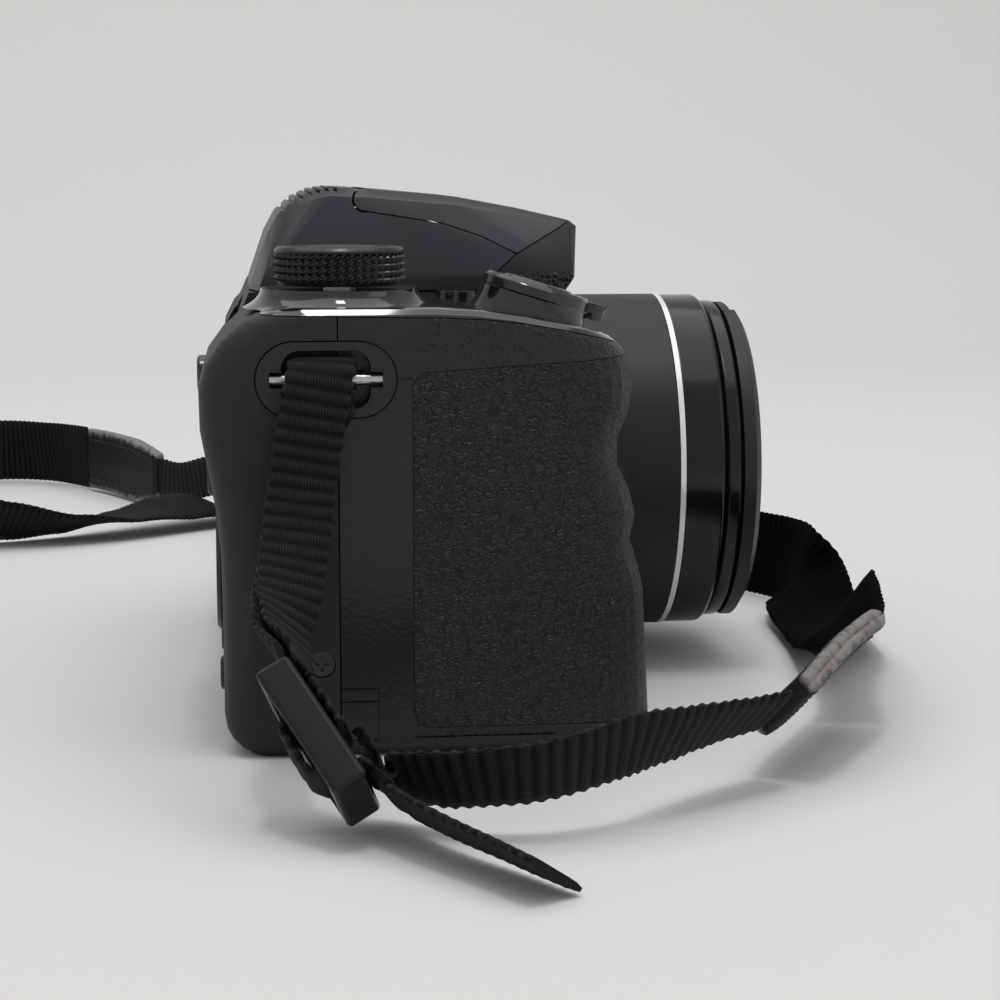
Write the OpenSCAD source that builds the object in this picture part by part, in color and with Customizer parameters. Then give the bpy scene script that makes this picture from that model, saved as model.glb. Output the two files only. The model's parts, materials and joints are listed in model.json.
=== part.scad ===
// Bridge camera with a fixed super-zoom lens, hand grip, pop-up flash, lens cap and neck strap.
// Millimetres. X = 0 on the lens axis, the lens looks along -Y, the grip is on -X, Z = 0 is the base,
// and the origin is the mouth of the tripod socket.

/* [Body] */
// Lens axis to the outer face of the grip
grip_reach = 75; // [74:0.5:80]
// Lens axis to the far side
far_reach = 48; // [47:0.5:53]
// Tripod axis to the screen face
rear_reach = 47; // [46.5:0.5:50]
// Height of the shoulders
shoulder_z = 66.5; // [65.5:0.25:70]
// Thickness of the moulded walls
wall = 2.2; // [1.8:0.1:2.6]
// Tripod axis to the joint between front and rear covers
seam_y = 30; // [29:0.5:32]
// Drop of the shoulder towards the front of the grip
front_fall = 5.5; // [4:0.25:6.5]
// Swell of the thumb rest on the rear cover
thumb_h = 3.2; // [2:0.2:4]

/* [Grip] */
// Reach of the grip in front of the tripod axis
grip_depth = 18; // [17.6:0.2:21]
// Width of the grip before it turns in to the finger gap
grip_w = 29; // [28.5:0.25:31]
// Depth of the upper finger hollow
finger_dip = 3.4; // [2:0.2:3.8]
// Thickness of the rubber grip skin
skin_t = 0.8; // [0.6:0.1:1]
// Rear edge of the grip skin
skin_rear_y = 19; // [17:0.5:21]

/* [Lens] */
// Clearance of the lens barrel above the base
lens_clear = 4.95; // [4.6:0.05:5.8]
// Outer radius of the fixed barrel
barrel_r = 29.65; // [29:0.05:30]
// Reach of the fixed barrel in front of the tripod axis
barrel_reach = 37.4; // [36:0.2:42]
// Distance of the bright trim ring behind the front of the barrel
ring_back = 7.4; // [6:0.2:12]
// Wall of each lens tube
tube_wall = 1.7; // [1.4:0.1:1.9]
// Sliding clearance between lens tubes
tube_gap = 0.3; // [0.2:0.05:0.4]
// Extension of each zoom tube
zoom_travel = 14; // [10:1:16]
// Outer radius of the lens cap
cap_r = 28.5; // [28:0.1:29]
// Depth of the lens cap
cap_depth = 3.3; // [3.2:0.1:5]
// Travel of the cap's pinch tabs
pinch_travel = 1.2; // [0.8:0.1:1.4]

/* [Controls] */
// Radius of the mode dial over its knurl
dial_r = 10.2; // [9.5:0.1:10.6]
// Height of the mode dial
dial_h = 5.7; // [5.5:0.1:8]
// Pyramids around the mode dial
dial_teeth = 44; // [36:2:52]
// Radius of the shutter button
shutter_r = 5.8; // [5:0.1:6.2]
// Travel of the shutter button
shutter_travel = 1; // [0.6:0.1:1.2]
// Forward tilt of the shutter button
nose_tilt = 17; // [14:0.5:20]
// Travel of the small buttons
key_travel = 0.5; // [0.3:0.05:0.6]
// Radius of the four-way control pad
pad_r = 10.5; // [9.5:0.1:11]

/* [Flash] */
// Half width of the hump at its top
hump_top_w = 21; // [20:0.5:22]
// Half width of the hump at its foot
hump_foot_w = 29; // [28.5:0.25:29.5]
// Radius of the flash hinge barrel
flash_hinge_r = 1.75; // [1.6:0.05:1.9]

/* [Battery] */
// Radius of one cell
cell_r = 7.25; // [7.05:0.05:7.25]
// Length of one cell
cell_len = 50.5; // [49.5:0.1:50.5]
// Thickness of the battery door
door_t = 2; // [1.6:0.1:2.4]

/* [Tripod socket] */
// Thread radius of the quarter-inch socket
socket_r = 3.175; // [3.1:0.005:3.25]
// Depth of the thread
socket_depth = 5; // [4:0.1:5.2]

/* [Strap] */
// Width of the narrow webbing
web_w = 10; // [9.6:0.1:10.2]
// Thickness of the webbing
web_t = 1.4; // [1.2:0.05:1.5]
// Width of the neck strap
neck_w = 17; // [15:0.5:18]

/* [Hidden] */
$fn = 48;

// Clearances
fit = 0.2;
seam_gap = 0.2;
key_gap = 0.2;
shaft_gap = 0.05;

// Colours
matte_black = [0.07, 0.07, 0.08];
gloss_black = [0.03, 0.03, 0.035];
rubber_black = [0.09, 0.09, 0.1];
web_black = [0.05, 0.05, 0.055];
steel = [0.72, 0.72, 0.74];
glass = [0.25, 0.3, 0.36];
board_green = [0.1, 0.3, 0.18];

// Body outline
side_x = -grip_reach;
far_x = far_reach;
grip_in_x = side_x + grip_w;
valley_x = grip_in_x + 11;
valley_y = 2;
chest_reach = 6;
lens_z = barrel_r + lens_clear;
ring_reach = barrel_reach - ring_back;
chest_half = barrel_r * 0.9;
far_front = 7;
grip_corner = 11;
far_corner = 8;
rear_corner = 5;
base_round = 3;
top_round = 2;
fall_y = 14;
thumb_z = 52;
thumb_x = -36;
finger_z = 44;
little_z = 30.5;
little_dip = finger_dip / 2;
grip_lean = 0.05;
brow_z = 52;
brow_lean = 1.2;
rear_top_round = 12;
deck_t = 0.9;
deck_slope = 0.018;
deck_x = -hump_foot_w - 0.3;

function mix(a, b, t) = a + (b - a) * t;
function smooth(t) = let (c = max(0, min(1, t))) c * c * (3 - 2 * c);
function hill(z, middle, spread) = exp(-pow((z - middle) / spread, 2));
function round_in(d, r) = let (c = max(0, d)) c >= r ? 0 : r - sqrt(r * r - (r - c) * (r - c));
function unit(v) = v / norm(v);

// Front line in plan, from the grip over the finger gap to the lens and the far side
function plan_front(x) =
    x < valley_x ? mix(-grip_depth, valley_y, smooth((x - grip_in_x) / (valley_x - grip_in_x)))
    : x < 0 ? mix(valley_y, -chest_reach, smooth((x - valley_x) / (-chest_half - valley_x)))
    : mix(-chest_reach, far_front, smooth((x - chest_half) / (far_x - far_corner - chest_half)));
function finger(x, z) = (1 - smooth((x - grip_in_x) / (valley_x - grip_in_x)))
    * (grip_lean * z + finger_dip * hill(z, finger_z, 6) + little_dip * hill(z, little_z, 3.6)
        + brow_lean * smooth((z - brow_z) / 9));
function thumb(x, z) = thumb_h * hill(z, thumb_z, 13) * (1 - smooth((x - thumb_x) / 16));
function fall_at(y) = front_fall * pow(max(0, fall_y - y) / (fall_y + grip_depth), 2);
function fall(x, y) = fall_at(y) * (smooth((-x - hump_foot_w) / 4) + smooth((x - hump_foot_w) / 4));
function deck_under(y) = shoulder_z - deck_t - deck_slope * max(0, rear_reach - 4 - y) - fall_at(y);
function rear_face(x, z) = rear_reach + thumb(x, z);

// Closed section of four straight runs and four round corners, counter-clockwise in Y and Z
function arc(cy, cz, r, start) =
    [for (k = [0:5]) [cy + r * cos(start + k * 18), cz + r * sin(start + k * 18)]];
function run(a, b, n) = [for (k = [1:n]) mix(a, b, k / (n + 1))];
function rounded_section(yf, yr, zb, zt, rfb, rrb, rrt, rft) = concat(
    arc(yr - rrb, zb + rrb, rrb, -90), run([yr, zb + rrb], [yr, zt - rrt], 7),
    arc(yr - rrt, zt - rrt, rrt, 0), run([yr - rrt, zt], [yf + rft, zt], 5),
    arc(yf + rft, zt - rft, rft, 90), run([yf, zt - rft], [yf, zb + rfb], 13),
    arc(yf + rfb, zb + rfb, rfb, 180), run([yf + rfb, zb], [yr - rrb, zb], 2));

// One section of the body at x, drawn in by the inset on every side
function body_ring(x, inset) =
    let (grip_d = x - side_x - inset, far_d = far_x - inset - x,
        inner = function(r) max(0.3, r - inset),
        ends = function(r) round_in(grip_d, inner(r)) + round_in(far_d, inner(r)),
        yf = max(plan_front(x) + inset, x < valley_x ? plan_front(x + inset) : -chest_reach)
            + round_in(grip_d, inner(grip_corner)) + round_in(far_d, inner(far_corner)),
        yr = rear_reach - inset - ends(rear_corner),
        zb = inset + ends(base_round),
        zt = shoulder_z - inset - ends(top_round))
    [for (p = rounded_section(yf, yr, zb, zt, 4, 6, rear_top_round, 3.5))
        let (s = (p[0] - yf) / (yr - yf), t = (p[1] - zb) / (zt - zb), z = p[1] - fall(x, p[0]) * t)
        [x, p[0] + finger(x, z) * (1 - s) + thumb(x, z) * s, z]];

function body_stations(inset) =
    let (x0 = side_x + inset, x1 = far_x - inset)
    concat([for (k = [0:7]) x0 + grip_corner * (1 - cos(k * 90 / 7))],
        run(x0 + grip_corner, grip_in_x, 2),
        [for (k = [0:5]) mix(grip_in_x, valley_x, k / 6)],
        [for (k = [0:4]) mix(valley_x, -chest_half, k / 5)],
        [for (k = [0:2]) mix(-chest_half, chest_half, k / 3)],
        [for (k = [0:3]) mix(chest_half, x1 - far_corner, k / 4)],
        [for (k = [7:-1:0]) x1 - far_corner * (1 - cos(k * 90 / 7))]);

// Skin over a row of closed rings that all have the same number of points
module loft(rings) {
    n = len(rings);
    m = len(rings[0]);
    sides = [for (i = [0:n - 2], k = [0:m - 1])
        let (a = i * m + k, b = i * m + (k + 1) % m)
        each [[a, a + m, b + m], [a, b + m, b]]];
    first = [for (k = [0:m - 1]) k];
    last = [for (k = [m - 1:-1:0]) (n - 1) * m + k];
    polyhedron(points = [for (ring = rings) each ring], faces = concat([first], sides, [last]),
        convexity = 6);
}

module body_form(inset = 0) {
    loft([for (x = body_stations(inset)) body_ring(x, inset)]);
}

// Box with rounded upright edges, from one corner to the other
module rounded_box(low, high, r) {
    hull()
        for (x = [low[0] + r, high[0] - r], y = [low[1] + r, high[1] - r])
            translate([x, y, low[2]])
                cylinder(h = high[2] - low[2], r = r, $fn = 32);
}

// Prism along X over an outline in Y and Z
module side_prism(x0, x1) {
    translate([x0, 0, 0])
        rotate([90, 0, 90])
            linear_extrude(height = x1 - x0)
                children();
}

module front_half(gap = 0) {
    translate([-200, seam_y - gap - 400, -200])
        cube([400, 400, 400]);
}

// Everything above the underside of the gloss deck
module above_deck(gap = 0) {
    side_prism(side_x - 5, deck_x + gap)
        polygon(concat([for (y = [-40:6:62]) [y, deck_under(y) - gap]], [[62, 100], [-40, 100]]));
}

// Grip skin outline, drawn in the plane of the grip side
skin_low_z = 4.4;
skin_top_z = 57;
skin_slope = 0.06;
skin_in_x = grip_in_x + 5;
skin_corner = 2.5;
skin_points = [[skin_rear_y, skin_top_z], [-40, skin_top_z + skin_slope * (skin_rear_y + 40)],
    [-40, skin_low_z], [skin_rear_y, skin_low_z]];

module skin_region(gap = 0) {
    side_prism(side_x - 5, skin_in_x + gap)
        offset(r = skin_corner + gap)
            offset(delta = -skin_corner)
                polygon(skin_points);
}

// Bead on the back of the skin that holds its edge in the front cover
lip_r = 0.45;
lip_in = 1.6;
lip_path = let (y1 = skin_rear_y - lip_in, y0 = -4, z0 = skin_low_z + lip_in, z1 = skin_top_z - lip_in, c = 3)
    concat([[y0, z1]], [for (a = [90:-30:0]) [y1 - c + c * cos(a), z1 - c + c * sin(a)]],
        [for (a = [0:-30:-90]) [y1 - c + c * cos(a), z0 + c + c * sin(a)]], [[y0, z0]]);

module skin_lip(gap = 0) {
    for (k = [0:len(lip_path) - 2])
        hull()
            for (p = [lip_path[k], lip_path[k + 1]])
                translate([side_x + skin_t - 0.1, p[0], p[1]])
                    rotate([0, 90, 0])
                        cylinder(h = lip_r + 0.1 + gap, r = lip_r + gap, $fn = 6);
}

module grip_skin() {
    color(rubber_black) {
        difference() {
            intersection() {
                body_form();
                skin_region();
            }
            body_form(skin_t);
        }
        skin_lip();
    }
}

// Battery bay
cell_gap = 0.25;
box_wall = 0.55;
grip_wall = 2.05;
cell_pitch = 2 * cell_r + 0.2;
cell_x = side_x + skin_t + grip_wall + fit + box_wall + cell_gap + cell_r;
cell_y = -2.2;
cell_z = door_t + 0.6;
box_r = cell_r + cell_gap + box_wall;
box_low = door_t + 0.3;
box_top = cell_z + cell_len + 1.9;
cell_places = [for (i = [0, 1], j = [0, 1]) [cell_x + i * cell_pitch, cell_y + j * cell_pitch]];
contact_w = 8;
contact_t = 0.35;
door_in_x = cell_x + cell_pitch + cell_r + 0.8;
hinge_r = 1.5;
hinge_x = door_in_x + hinge_r + fit + 0.1;
hinge_y0 = 4;
hinge_y1 = 15;
door_pin_r = 0.7;
door_corner = 5;
door_gap = 0.35;
door_low = [cell_x - cell_r - 0.2, cell_y - cell_r - 0.2];
door_high = [door_in_x, cell_y + cell_pitch + cell_r + 0.2];

module cell_cluster(r, z0, z1) {
    hull()
        for (p = cell_places)
            translate([p[0], p[1], z0])
                cylinder(h = z1 - z0, r = r, $fn = 32);
}

module along_y(x, z, y0, y1, r) {
    translate([x, y1, z])
        rotate([90, 0, 0])
            cylinder(h = y1 - y0, r = r);
}

module along_x(y, z, x0, x1, r) {
    translate([x0, y, z])
        rotate([0, 90, 0])
            cylinder(h = x1 - x0, r = r);
}

module battery_box() {
    color(matte_black)
        difference() {
            cell_cluster(box_r, box_low, box_top);
            for (p = cell_places)
                translate([p[0], p[1], box_low - 1])
                    cylinder(h = cell_z + cell_len + 0.6 - box_low + 1, r = cell_r + cell_gap);
            along_y(hinge_x, hinge_r, hinge_y0 - fit, hinge_y1 + fit, hinge_r + fit);
            for (j = [0, 1])
                translate([cell_x - contact_w / 2 - 0.1, cell_places[j][1] - contact_w / 2 - 0.1,
                    cell_z + cell_len])
                    cube([cell_pitch + contact_w + 0.2, contact_w + 0.2, contact_t + 0.25]);
        }
}

module battery_cells() {
    nub_h = 1;
    color(steel)
        for (k = [0:3])
            translate([cell_places[k][0], cell_places[k][1], cell_z]) {
                up = k == 0 || k == 3;
                translate([0, 0, up ? 0 : nub_h])
                    cylinder(h = cell_len - nub_h, r = cell_r);
                translate([0, 0, up ? cell_len - nub_h : 0])
                    cylinder(h = nub_h, r = 2.7);
            }
}

module battery_contacts() {
    color(steel)
        for (j = [0, 1])
            translate([cell_x - contact_w / 2, cell_places[j][1] - contact_w / 2, cell_z + cell_len + 0.1])
                cube([cell_pitch + contact_w, contact_w, contact_t]);
}

// The hinge side of the door is stepped, so that it swings out past the edge of the opening
module battery_door() {
    leaf_t = 0.2;
    swing_step = 0.9;
    door_lip = 0.3;
    color(matte_black)
        difference() {
            union() {
                rounded_box([door_low[0], door_low[1], 0], [door_high[0], door_high[1], door_lip],
                    door_corner);
                rounded_box([door_low[0], door_low[1], 0], [door_high[0] - swing_step, door_high[1], door_t],
                    door_corner);
                along_y(hinge_x, hinge_r, hinge_y0, hinge_y1, hinge_r);
                translate([door_high[0] - 2, hinge_y0, 0])
                    cube([hinge_x - door_high[0] + 2, hinge_y1 - hinge_y0, hinge_r]);
                for (i = [0, 1])
                    translate([cell_places[i * 2][0] - 3, cell_y - 3, door_t])
                        cube([6, cell_pitch + 6, leaf_t]);
            }
            along_y(hinge_x, hinge_r, hinge_y0 - 1, hinge_y1 + 1, door_pin_r + shaft_gap);
            for (k = [0:4])
                translate([door_low[0] + 3 + k * 1.6, cell_y + cell_pitch / 2 - 5, -0.1])
                    cube([0.8, 10, 0.5]);
        }
}

module door_hinge_pin() {
    color(steel)
        along_y(hinge_x, hinge_r, hinge_y0 - 2, hinge_y1 + 2, door_pin_r);
}

// Hollow in the base for the door, its hinge barrel and the pin ends
module door_opening() {
    rounded_box([door_low[0] - fit, door_low[1] - fit, -1],
        [door_high[0] + door_gap, door_high[1] + fit, box_low], door_corner + fit);
    translate([door_high[0] - 1, hinge_y0 - fit, -1])
        cube([hinge_x - door_high[0] + 1 + hinge_r + fit, hinge_y1 - hinge_y0 + 2 * fit, hinge_r + 1]);
    along_y(hinge_x, hinge_r, hinge_y0 - fit, hinge_y1 + fit, hinge_r + fit);
    along_y(hinge_x, hinge_r, hinge_y0 - 2.2, hinge_y1 + 2.2, door_pin_r + 0.15);
}

// Lens axis: local z runs forward from the tripod axis
module about_lens() {
    translate([0, 0, lens_z])
        rotate([90, 0, 0])
            children();
}

module lens_ring(r0, r1, f0, f1) {
    about_lens()
        translate([0, 0, f0])
            difference() {
                cylinder(h = f1 - f0, r = r1, $fn = 96);
                translate([0, 0, -1])
                    cylinder(h = f1 - f0 + 2, r = r0, $fn = 96);
            }
}

trim_w = 1;
trim_proud = 0.05;
barrel_bore = barrel_r - 2.1;
neck_r = barrel_r - 1.25;
unit_r = barrel_r - 4.65;
unit_rear = 22 - rear_reach;
unit_step = 3.4;
mid_r = barrel_bore - tube_gap;
mid_bore = mid_r - tube_wall;
front_r = mid_bore - tube_gap;
front_bore = front_r - tube_wall;
collar_w = 2.8;
collar_f0 = barrel_reach + 0.3;
collar_f1 = collar_f0 + collar_w;
cap_f0 = collar_f1 + 0.25;
cap_f1 = cap_f0 + cap_depth;
bezel_r = front_bore - 5.55;
bezel_back = 9;
bezel_lip = 3.4;
glass_back = bezel_back - 1;
rear_bore = 8;
rear_glass_r = rear_bore + 0.6;
rear_glass_back = 4.5;

module lens_barrel() {
    edge = 0.6;
    color(gloss_black)
        about_lens()
            rotate_extrude($fn = 96)
                polygon([[rear_bore, unit_rear], [unit_r, unit_rear], [unit_r, unit_step], [neck_r,
                    unit_step],
                    [neck_r, chest_reach + 0.4], [barrel_r, chest_reach + 0.4],
                    [barrel_r, ring_reach - trim_w / 2], [barrel_r - 0.8, ring_reach - trim_w / 2],
                    [barrel_r - 0.8, ring_reach + trim_w / 2], [barrel_r - 0.15, ring_reach + trim_w / 2],
                    [barrel_r - 0.15, barrel_reach - edge], [barrel_r - edge - 0.15, barrel_reach],
                    [barrel_bore, barrel_reach], [barrel_bore, unit_step + tube_wall],
                    [unit_r - 3, unit_step + tube_wall], [unit_r - 3, unit_rear + 2],
                    [rear_bore, unit_rear + 2]]);
}

module lens_trim_ring() {
    color(steel)
        lens_ring(barrel_r - 0.75, barrel_r + trim_proud, ring_reach - trim_w / 2 + 0.05,
            ring_reach + trim_w / 2 - 0.05);
}

module zoom_mid_tube() {
    color(gloss_black)
        lens_ring(mid_bore, mid_r, unit_step + tube_wall + 0.6, barrel_reach - 0.4);
}

module zoom_front_tube() {
    lip = 0.5;
    color(gloss_black)
        about_lens()
            rotate_extrude($fn = 96)
                polygon([[front_bore, unit_step + tube_wall + 1.2], [front_r, unit_step + tube_wall + 1.2],
                    [front_r, collar_f0], [cap_r - lip, collar_f0], [cap_r - 0.1, collar_f0 + lip],
                    [cap_r - 0.1, collar_f1 - lip], [cap_r - lip, collar_f1], [front_bore, collar_f1]]);
}

// Tapered name ring between the front tube and the front glass
module lens_bezel() {
    color(matte_black)
        about_lens()
            rotate_extrude($fn = 96)
                polygon([[bezel_r, barrel_reach - bezel_back], [front_bore - 0.05, barrel_reach - bezel_back],
                    [front_bore - 0.05, collar_f1 - 0.6], [front_bore - 1.2, collar_f1 - 0.6],
                    [bezel_r, barrel_reach - bezel_lip]]);
}

// Biconvex glass, from the two sagittas of its faces
module lens_glass(r, edge, bulge) {
    ball = (r * r + bulge * bulge) / (2 * bulge);
    rotate_extrude($fn = 96)
        intersection() {
            polygon(concat([[0, -bulge], [0, edge + bulge]],
                [for (k = [1:8]) [r * k / 8, edge + bulge - ball + sqrt(ball * ball - pow(r * k / 8, 2))]],
                [for (k = [8:-1:1]) [r * k / 8, ball - bulge - sqrt(ball * ball - pow(r * k / 8, 2))]]));
            translate([0, -bulge - 1])
                square([r, edge + 2 * bulge + 2]);
        }
}

module front_lens() {
    color(glass)
        about_lens()
            translate([0, 0, barrel_reach - glass_back])
                lens_glass(bezel_r - fit, 2.4, 2.2);
}

module rear_lens() {
    color(glass)
        about_lens() {
            translate([0, 0, unit_rear + rear_glass_back])
                lens_glass(rear_glass_r, 1.6, 0.9);
            difference() {
                translate([0, 0, unit_rear + 2.1])
                    cylinder(h = 6, r = unit_r - 3.3);
                translate([0, 0, unit_rear + 1])
                    cylinder(h = 8, r = rear_glass_r + fit);
            }
        }
}

sensor_y = -unit_rear;
chip = [13, 1.2, 11];
carrier = [32, 1.4, 28];
board_y = sensor_y + 0.5 + chip[1] + carrier[1];

module image_sensor() {
    color(board_green) {
        translate([-carrier[0] / 2, sensor_y + 0.2 + chip[1], lens_z - carrier[2] / 2])
            cube(carrier);
        translate([-chip[0] / 2, sensor_y + 0.2, lens_z - chip[2] / 2])
            cube(chip);
    }
}

module main_board() {
    color(board_green) {
        translate([-38, board_y, wall + 1.5])
            cube([far_x - wall - 1 + 38, 1.6, shoulder_z - 2 * wall - 6]);
        for (p = [[-20, 14], [6, 14], [-4, 34], [20, 36]])
            translate([p[0], board_y + 1.6, p[1]])
                cube([13, 1.2, 13]);
    }
}

module flash_capacitor() {
    color(gloss_black)
        translate([door_in_x + 6.25, 20.5, wall + 0.2])
            cylinder(h = 28, r = 4.2);
}

// Lens cap: a dished disc with a bevelled rim and two pinch tabs
tab_w = 16;
tab_low = cap_r - 9;
tab_top = cap_r - 0.35;
cap_bevel = 1.2;

module cap_tab_slot(gap) {
    translate([-tab_w / 2 - gap, tab_low - gap - pinch_travel, -1])
        cube([tab_w + 2 * gap, cap_r, cap_depth + 2]);
}

module lens_cap() {
    color(matte_black)
        about_lens()
            translate([0, 0, cap_f0])
                difference() {
                    rotate_extrude($fn = 96)
                        polygon([[0, 0.9], [cap_r - 2.4, 0.9], [cap_r - 2.4, 0], [cap_r, 0],
                            [cap_r, cap_depth - cap_bevel], [cap_r - 1.5 * cap_bevel, cap_depth],
                            [cap_r - 3.2, cap_depth], [cap_r - 3.8, cap_depth - 0.6], [0, cap_depth - 0.6]]);
                    for (a = [0, 180])
                        rotate([0, 0, a])
                            cap_tab_slot(fit);
                }
}

module cap_tab(turn) {
    color(gloss_black)
        about_lens()
            translate([0, 0, cap_f0])
                rotate([0, 0, turn])
                    difference() {
                        intersection() {
                            translate([-tab_w / 2, tab_low, 0.1])
                                cube([tab_w, tab_top - tab_low, cap_depth - 0.3]);
                            rotate_extrude($fn = 96)
                                polygon([[0, 0], [tab_top, 0], [tab_top, cap_depth - cap_bevel - 0.6],
                                    [tab_top - 2.4, cap_depth], [0, cap_depth]]);
                        }
                        for (k = [0:2])
                            translate([-tab_w / 2 + 2, tab_top - 3.6 - k * 1.6, cap_depth - 0.8])
                                cube([tab_w - 4, 0.8, 2]);
                    }
}

module cap_tab_upper() cap_tab(0);
module cap_tab_lower() cap_tab(180);

// Hump over the lens, drawn from the side as Y and Z
hump_rise = 16.9;
hump_top = shoulder_z + hump_rise;
function hump_z(rise) = shoulder_z + rise;
hump_points = [[42.3, hump_z(0)], [40.4, hump_z(5.2)], [39.2, hump_z(9)], [37.2, hump_z(12.6)],
    [34.5, hump_z(15)], [31.6, hump_z(16.4)], [28.7, hump_z(16.9)], [22, hump_z(16.6)], [7.5, hump_z(15.3)],
    [-2.7, hump_z(13.4)],
    [-11.4, hump_z(11.4)], [-12.7, hump_z(10.4)], [-12.5, hump_z(1.8)], [-11.6, hump_z(0.4)], [-9,
        hump_z(-3)],
    [41, hump_z(-3)]];
hump_edge = 1.4;

module hump_form(inset = 0) {
    hull() {
        side_prism(-hump_top_w + inset, hump_top_w - inset)
            offset(delta = -inset)
                polygon(hump_points);
        side_prism(-hump_top_w - 3 + inset, hump_top_w + 3 - inset)
            offset(delta = -hump_edge - inset)
                polygon(hump_points);
        side_prism(-hump_foot_w + inset, hump_foot_w - inset)
            intersection() {
                offset(delta = -hump_edge - inset)
                    polygon(hump_points);
                translate([-60, shoulder_z - 20])
                    square([120, 23]);
            }
    }
}

// Flash lid in the side view: its seam drops forward to a point, then rises along the nose
flash_y = 23;
flash_z = hump_top - 0.3 - flash_hinge_r;
lid_points = [[flash_y, hump_top + 4], [flash_y, hump_z(13)], [10.2, hump_z(11)], [3.7, hump_z(8.8)],
    [-1.85, hump_z(6)], [-11.9, hump_z(11.6)], [-30, hump_z(16)], [-30, hump_top + 4]];
nose_points = [[-1.85, hump_z(6)], [2.7, hump_z(2.2)], [2.7, hump_z(-0.7)], [-30, hump_z(-0.7)],
    [-30, hump_z(21.6)], [-11.9, hump_z(11.6)]];
lid_wall = 1.5;
ear_x = 17.6;
pin_r = 0.8;
pin_half = hump_top_w + 0.6;
window_w = 30;
window_h = 7.6;

module lid_region(gap) {
    side_prism(-60, 60)
        offset(delta = gap)
            polygon(lid_points);
}

module nose_region(gap) {
    side_prism(-60, 60)
        offset(delta = gap)
            polygon(nose_points);
}

// Frame of the flash window: x across, y up the sloping face, z out of the lid
window_mid = [mix(-1.85, -11.9, 0.5), mix(hump_z(6), hump_z(11.6), 0.5)];
window_turn = atan2(11.6 - 6, 11.9 - 1.85);

module on_window() {
    translate([0, window_mid[0], window_mid[1]])
        rotate([-window_turn, 0, 0])
            children();
}

module flash_lid() {
    color(matte_black)
        difference() {
            intersection() {
                hump_form();
                union() {
                    lid_region(-seam_gap / 2);
                    along_x(flash_y, flash_z, -60, 60, flash_hinge_r);
                }
            }
            intersection() {
                hump_form(lid_wall);
                lid_region(-lid_wall - seam_gap);
            }
            along_x(flash_y, flash_z, -ear_x, ear_x, flash_hinge_r + fit);
            along_x(flash_y, flash_z, -pin_half - fit, pin_half + fit, pin_r + shaft_gap);
            on_window()
                translate([-window_w / 2 - fit, -window_h / 2 - fit, -1.6])
                    cube([window_w + 2 * fit, window_h + 2 * fit, 3.2]);
        }
}

module flash_window() {
    color(glass)
        on_window()
            translate([-window_w / 2, -window_h / 2, seam_gap / 2])
                difference() {
                    cube([window_w, window_h, 1.1]);
                    for (k = [0:5])
                        translate([1, 0.7 + k * 1.1, -0.5])
                            cube([window_w - 2, 0.5, 0.7]);
                }
}

module flash_hinge_pin() {
    color(steel)
        along_x(flash_y, flash_z, -pin_half, pin_half, pin_r);
}

release_y = 14;
release_rise = 5.5;
release_r = 2.4;
release_x = hump_foot_w - 3.1;

module top_cover() {
    rib_n = 7;
    rib_y = 27.4;
    rib_pitch = 1.42;
    crown = [[26, hump_z(16.9)], [28.7, hump_z(16.9)], [31.6, hump_z(16.4)], [34.5, hump_z(15)],
        [37.2, hump_z(12.6)]];
    color(matte_black)
        difference() {
            union() {
                difference() {
                    intersection() {
                        hump_form();
                        translate([-60, -60, shoulder_z + seam_gap])
                            cube([120, 120, 60]);
                    }
                    intersection() {
                        hump_form(wall);
                        translate([-60, -60, shoulder_z + seam_gap - 1])
                            cube([120, 120, 60]);
                    }
                    lid_region(seam_gap / 2);
                    nose_region(seam_gap / 2);
                    along_x(flash_y, flash_z, -60, 60, flash_hinge_r + 0.35);
                }
                along_x(flash_y, flash_z, -ear_x + fit, ear_x - fit, flash_hinge_r - fit);
                translate([-ear_x + fit, flash_y, flash_z - 1])
                    cube([2 * (ear_x - fit), flash_hinge_r + 1.6, 2]);
            }
            along_x(flash_y, flash_z, -pin_half, pin_half, pin_r + shaft_gap);
            along_x(release_y, hump_z(release_rise), 10, 60, release_r + key_gap);
            for (k = [0:rib_n - 1])
                translate([-hump_top_w - 2.4, rib_y + k * rib_pitch, lookup(rib_y + k * rib_pitch,
                    crown) - 0.75])
                    cube([2 * hump_top_w + 4.8, 0.65, 3]);
        }
}

module flash_release() {
    color(gloss_black) {
        along_x(release_y, hump_z(release_rise), release_x - 5, release_x + 1.4, release_r);
        along_x(release_y, hump_z(release_rise), release_x - 6, release_x - 5, release_r + 0.9);
    }
}

// Gloss deck with the dial seat and the tilted nose under the shutter button
dial_x = -56;
dial_y = 28.7;
dial_seat_r = 12.1;
dial_seat_z = shoulder_z + 2.05;
dial_z = dial_seat_z + 0.5;
dial_shaft_r = 2.5;
nose_x = -54;
nose_y = -2;
nose_z = shoulder_z + 2.3;
lever_r = 8.5;
shutter_sink = 2;
lever_h = 1.9;

module on_nose() {
    translate([nose_x, nose_y, nose_z])
        rotate([nose_tilt, 0, 0])
            children();
}

// Round foot that flares smoothly into the deck
module flared_foot(r_top, r_foot, h, steps) {
    for (k = [0:steps - 1])
        hull()
            for (j = [k, k + 1])
                translate([0, 0, -h * j / steps])
                    cylinder(h = 0.05, r = mix(r_top, r_foot, pow(j / steps, 2.2)), $fn = 40);
}

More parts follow.
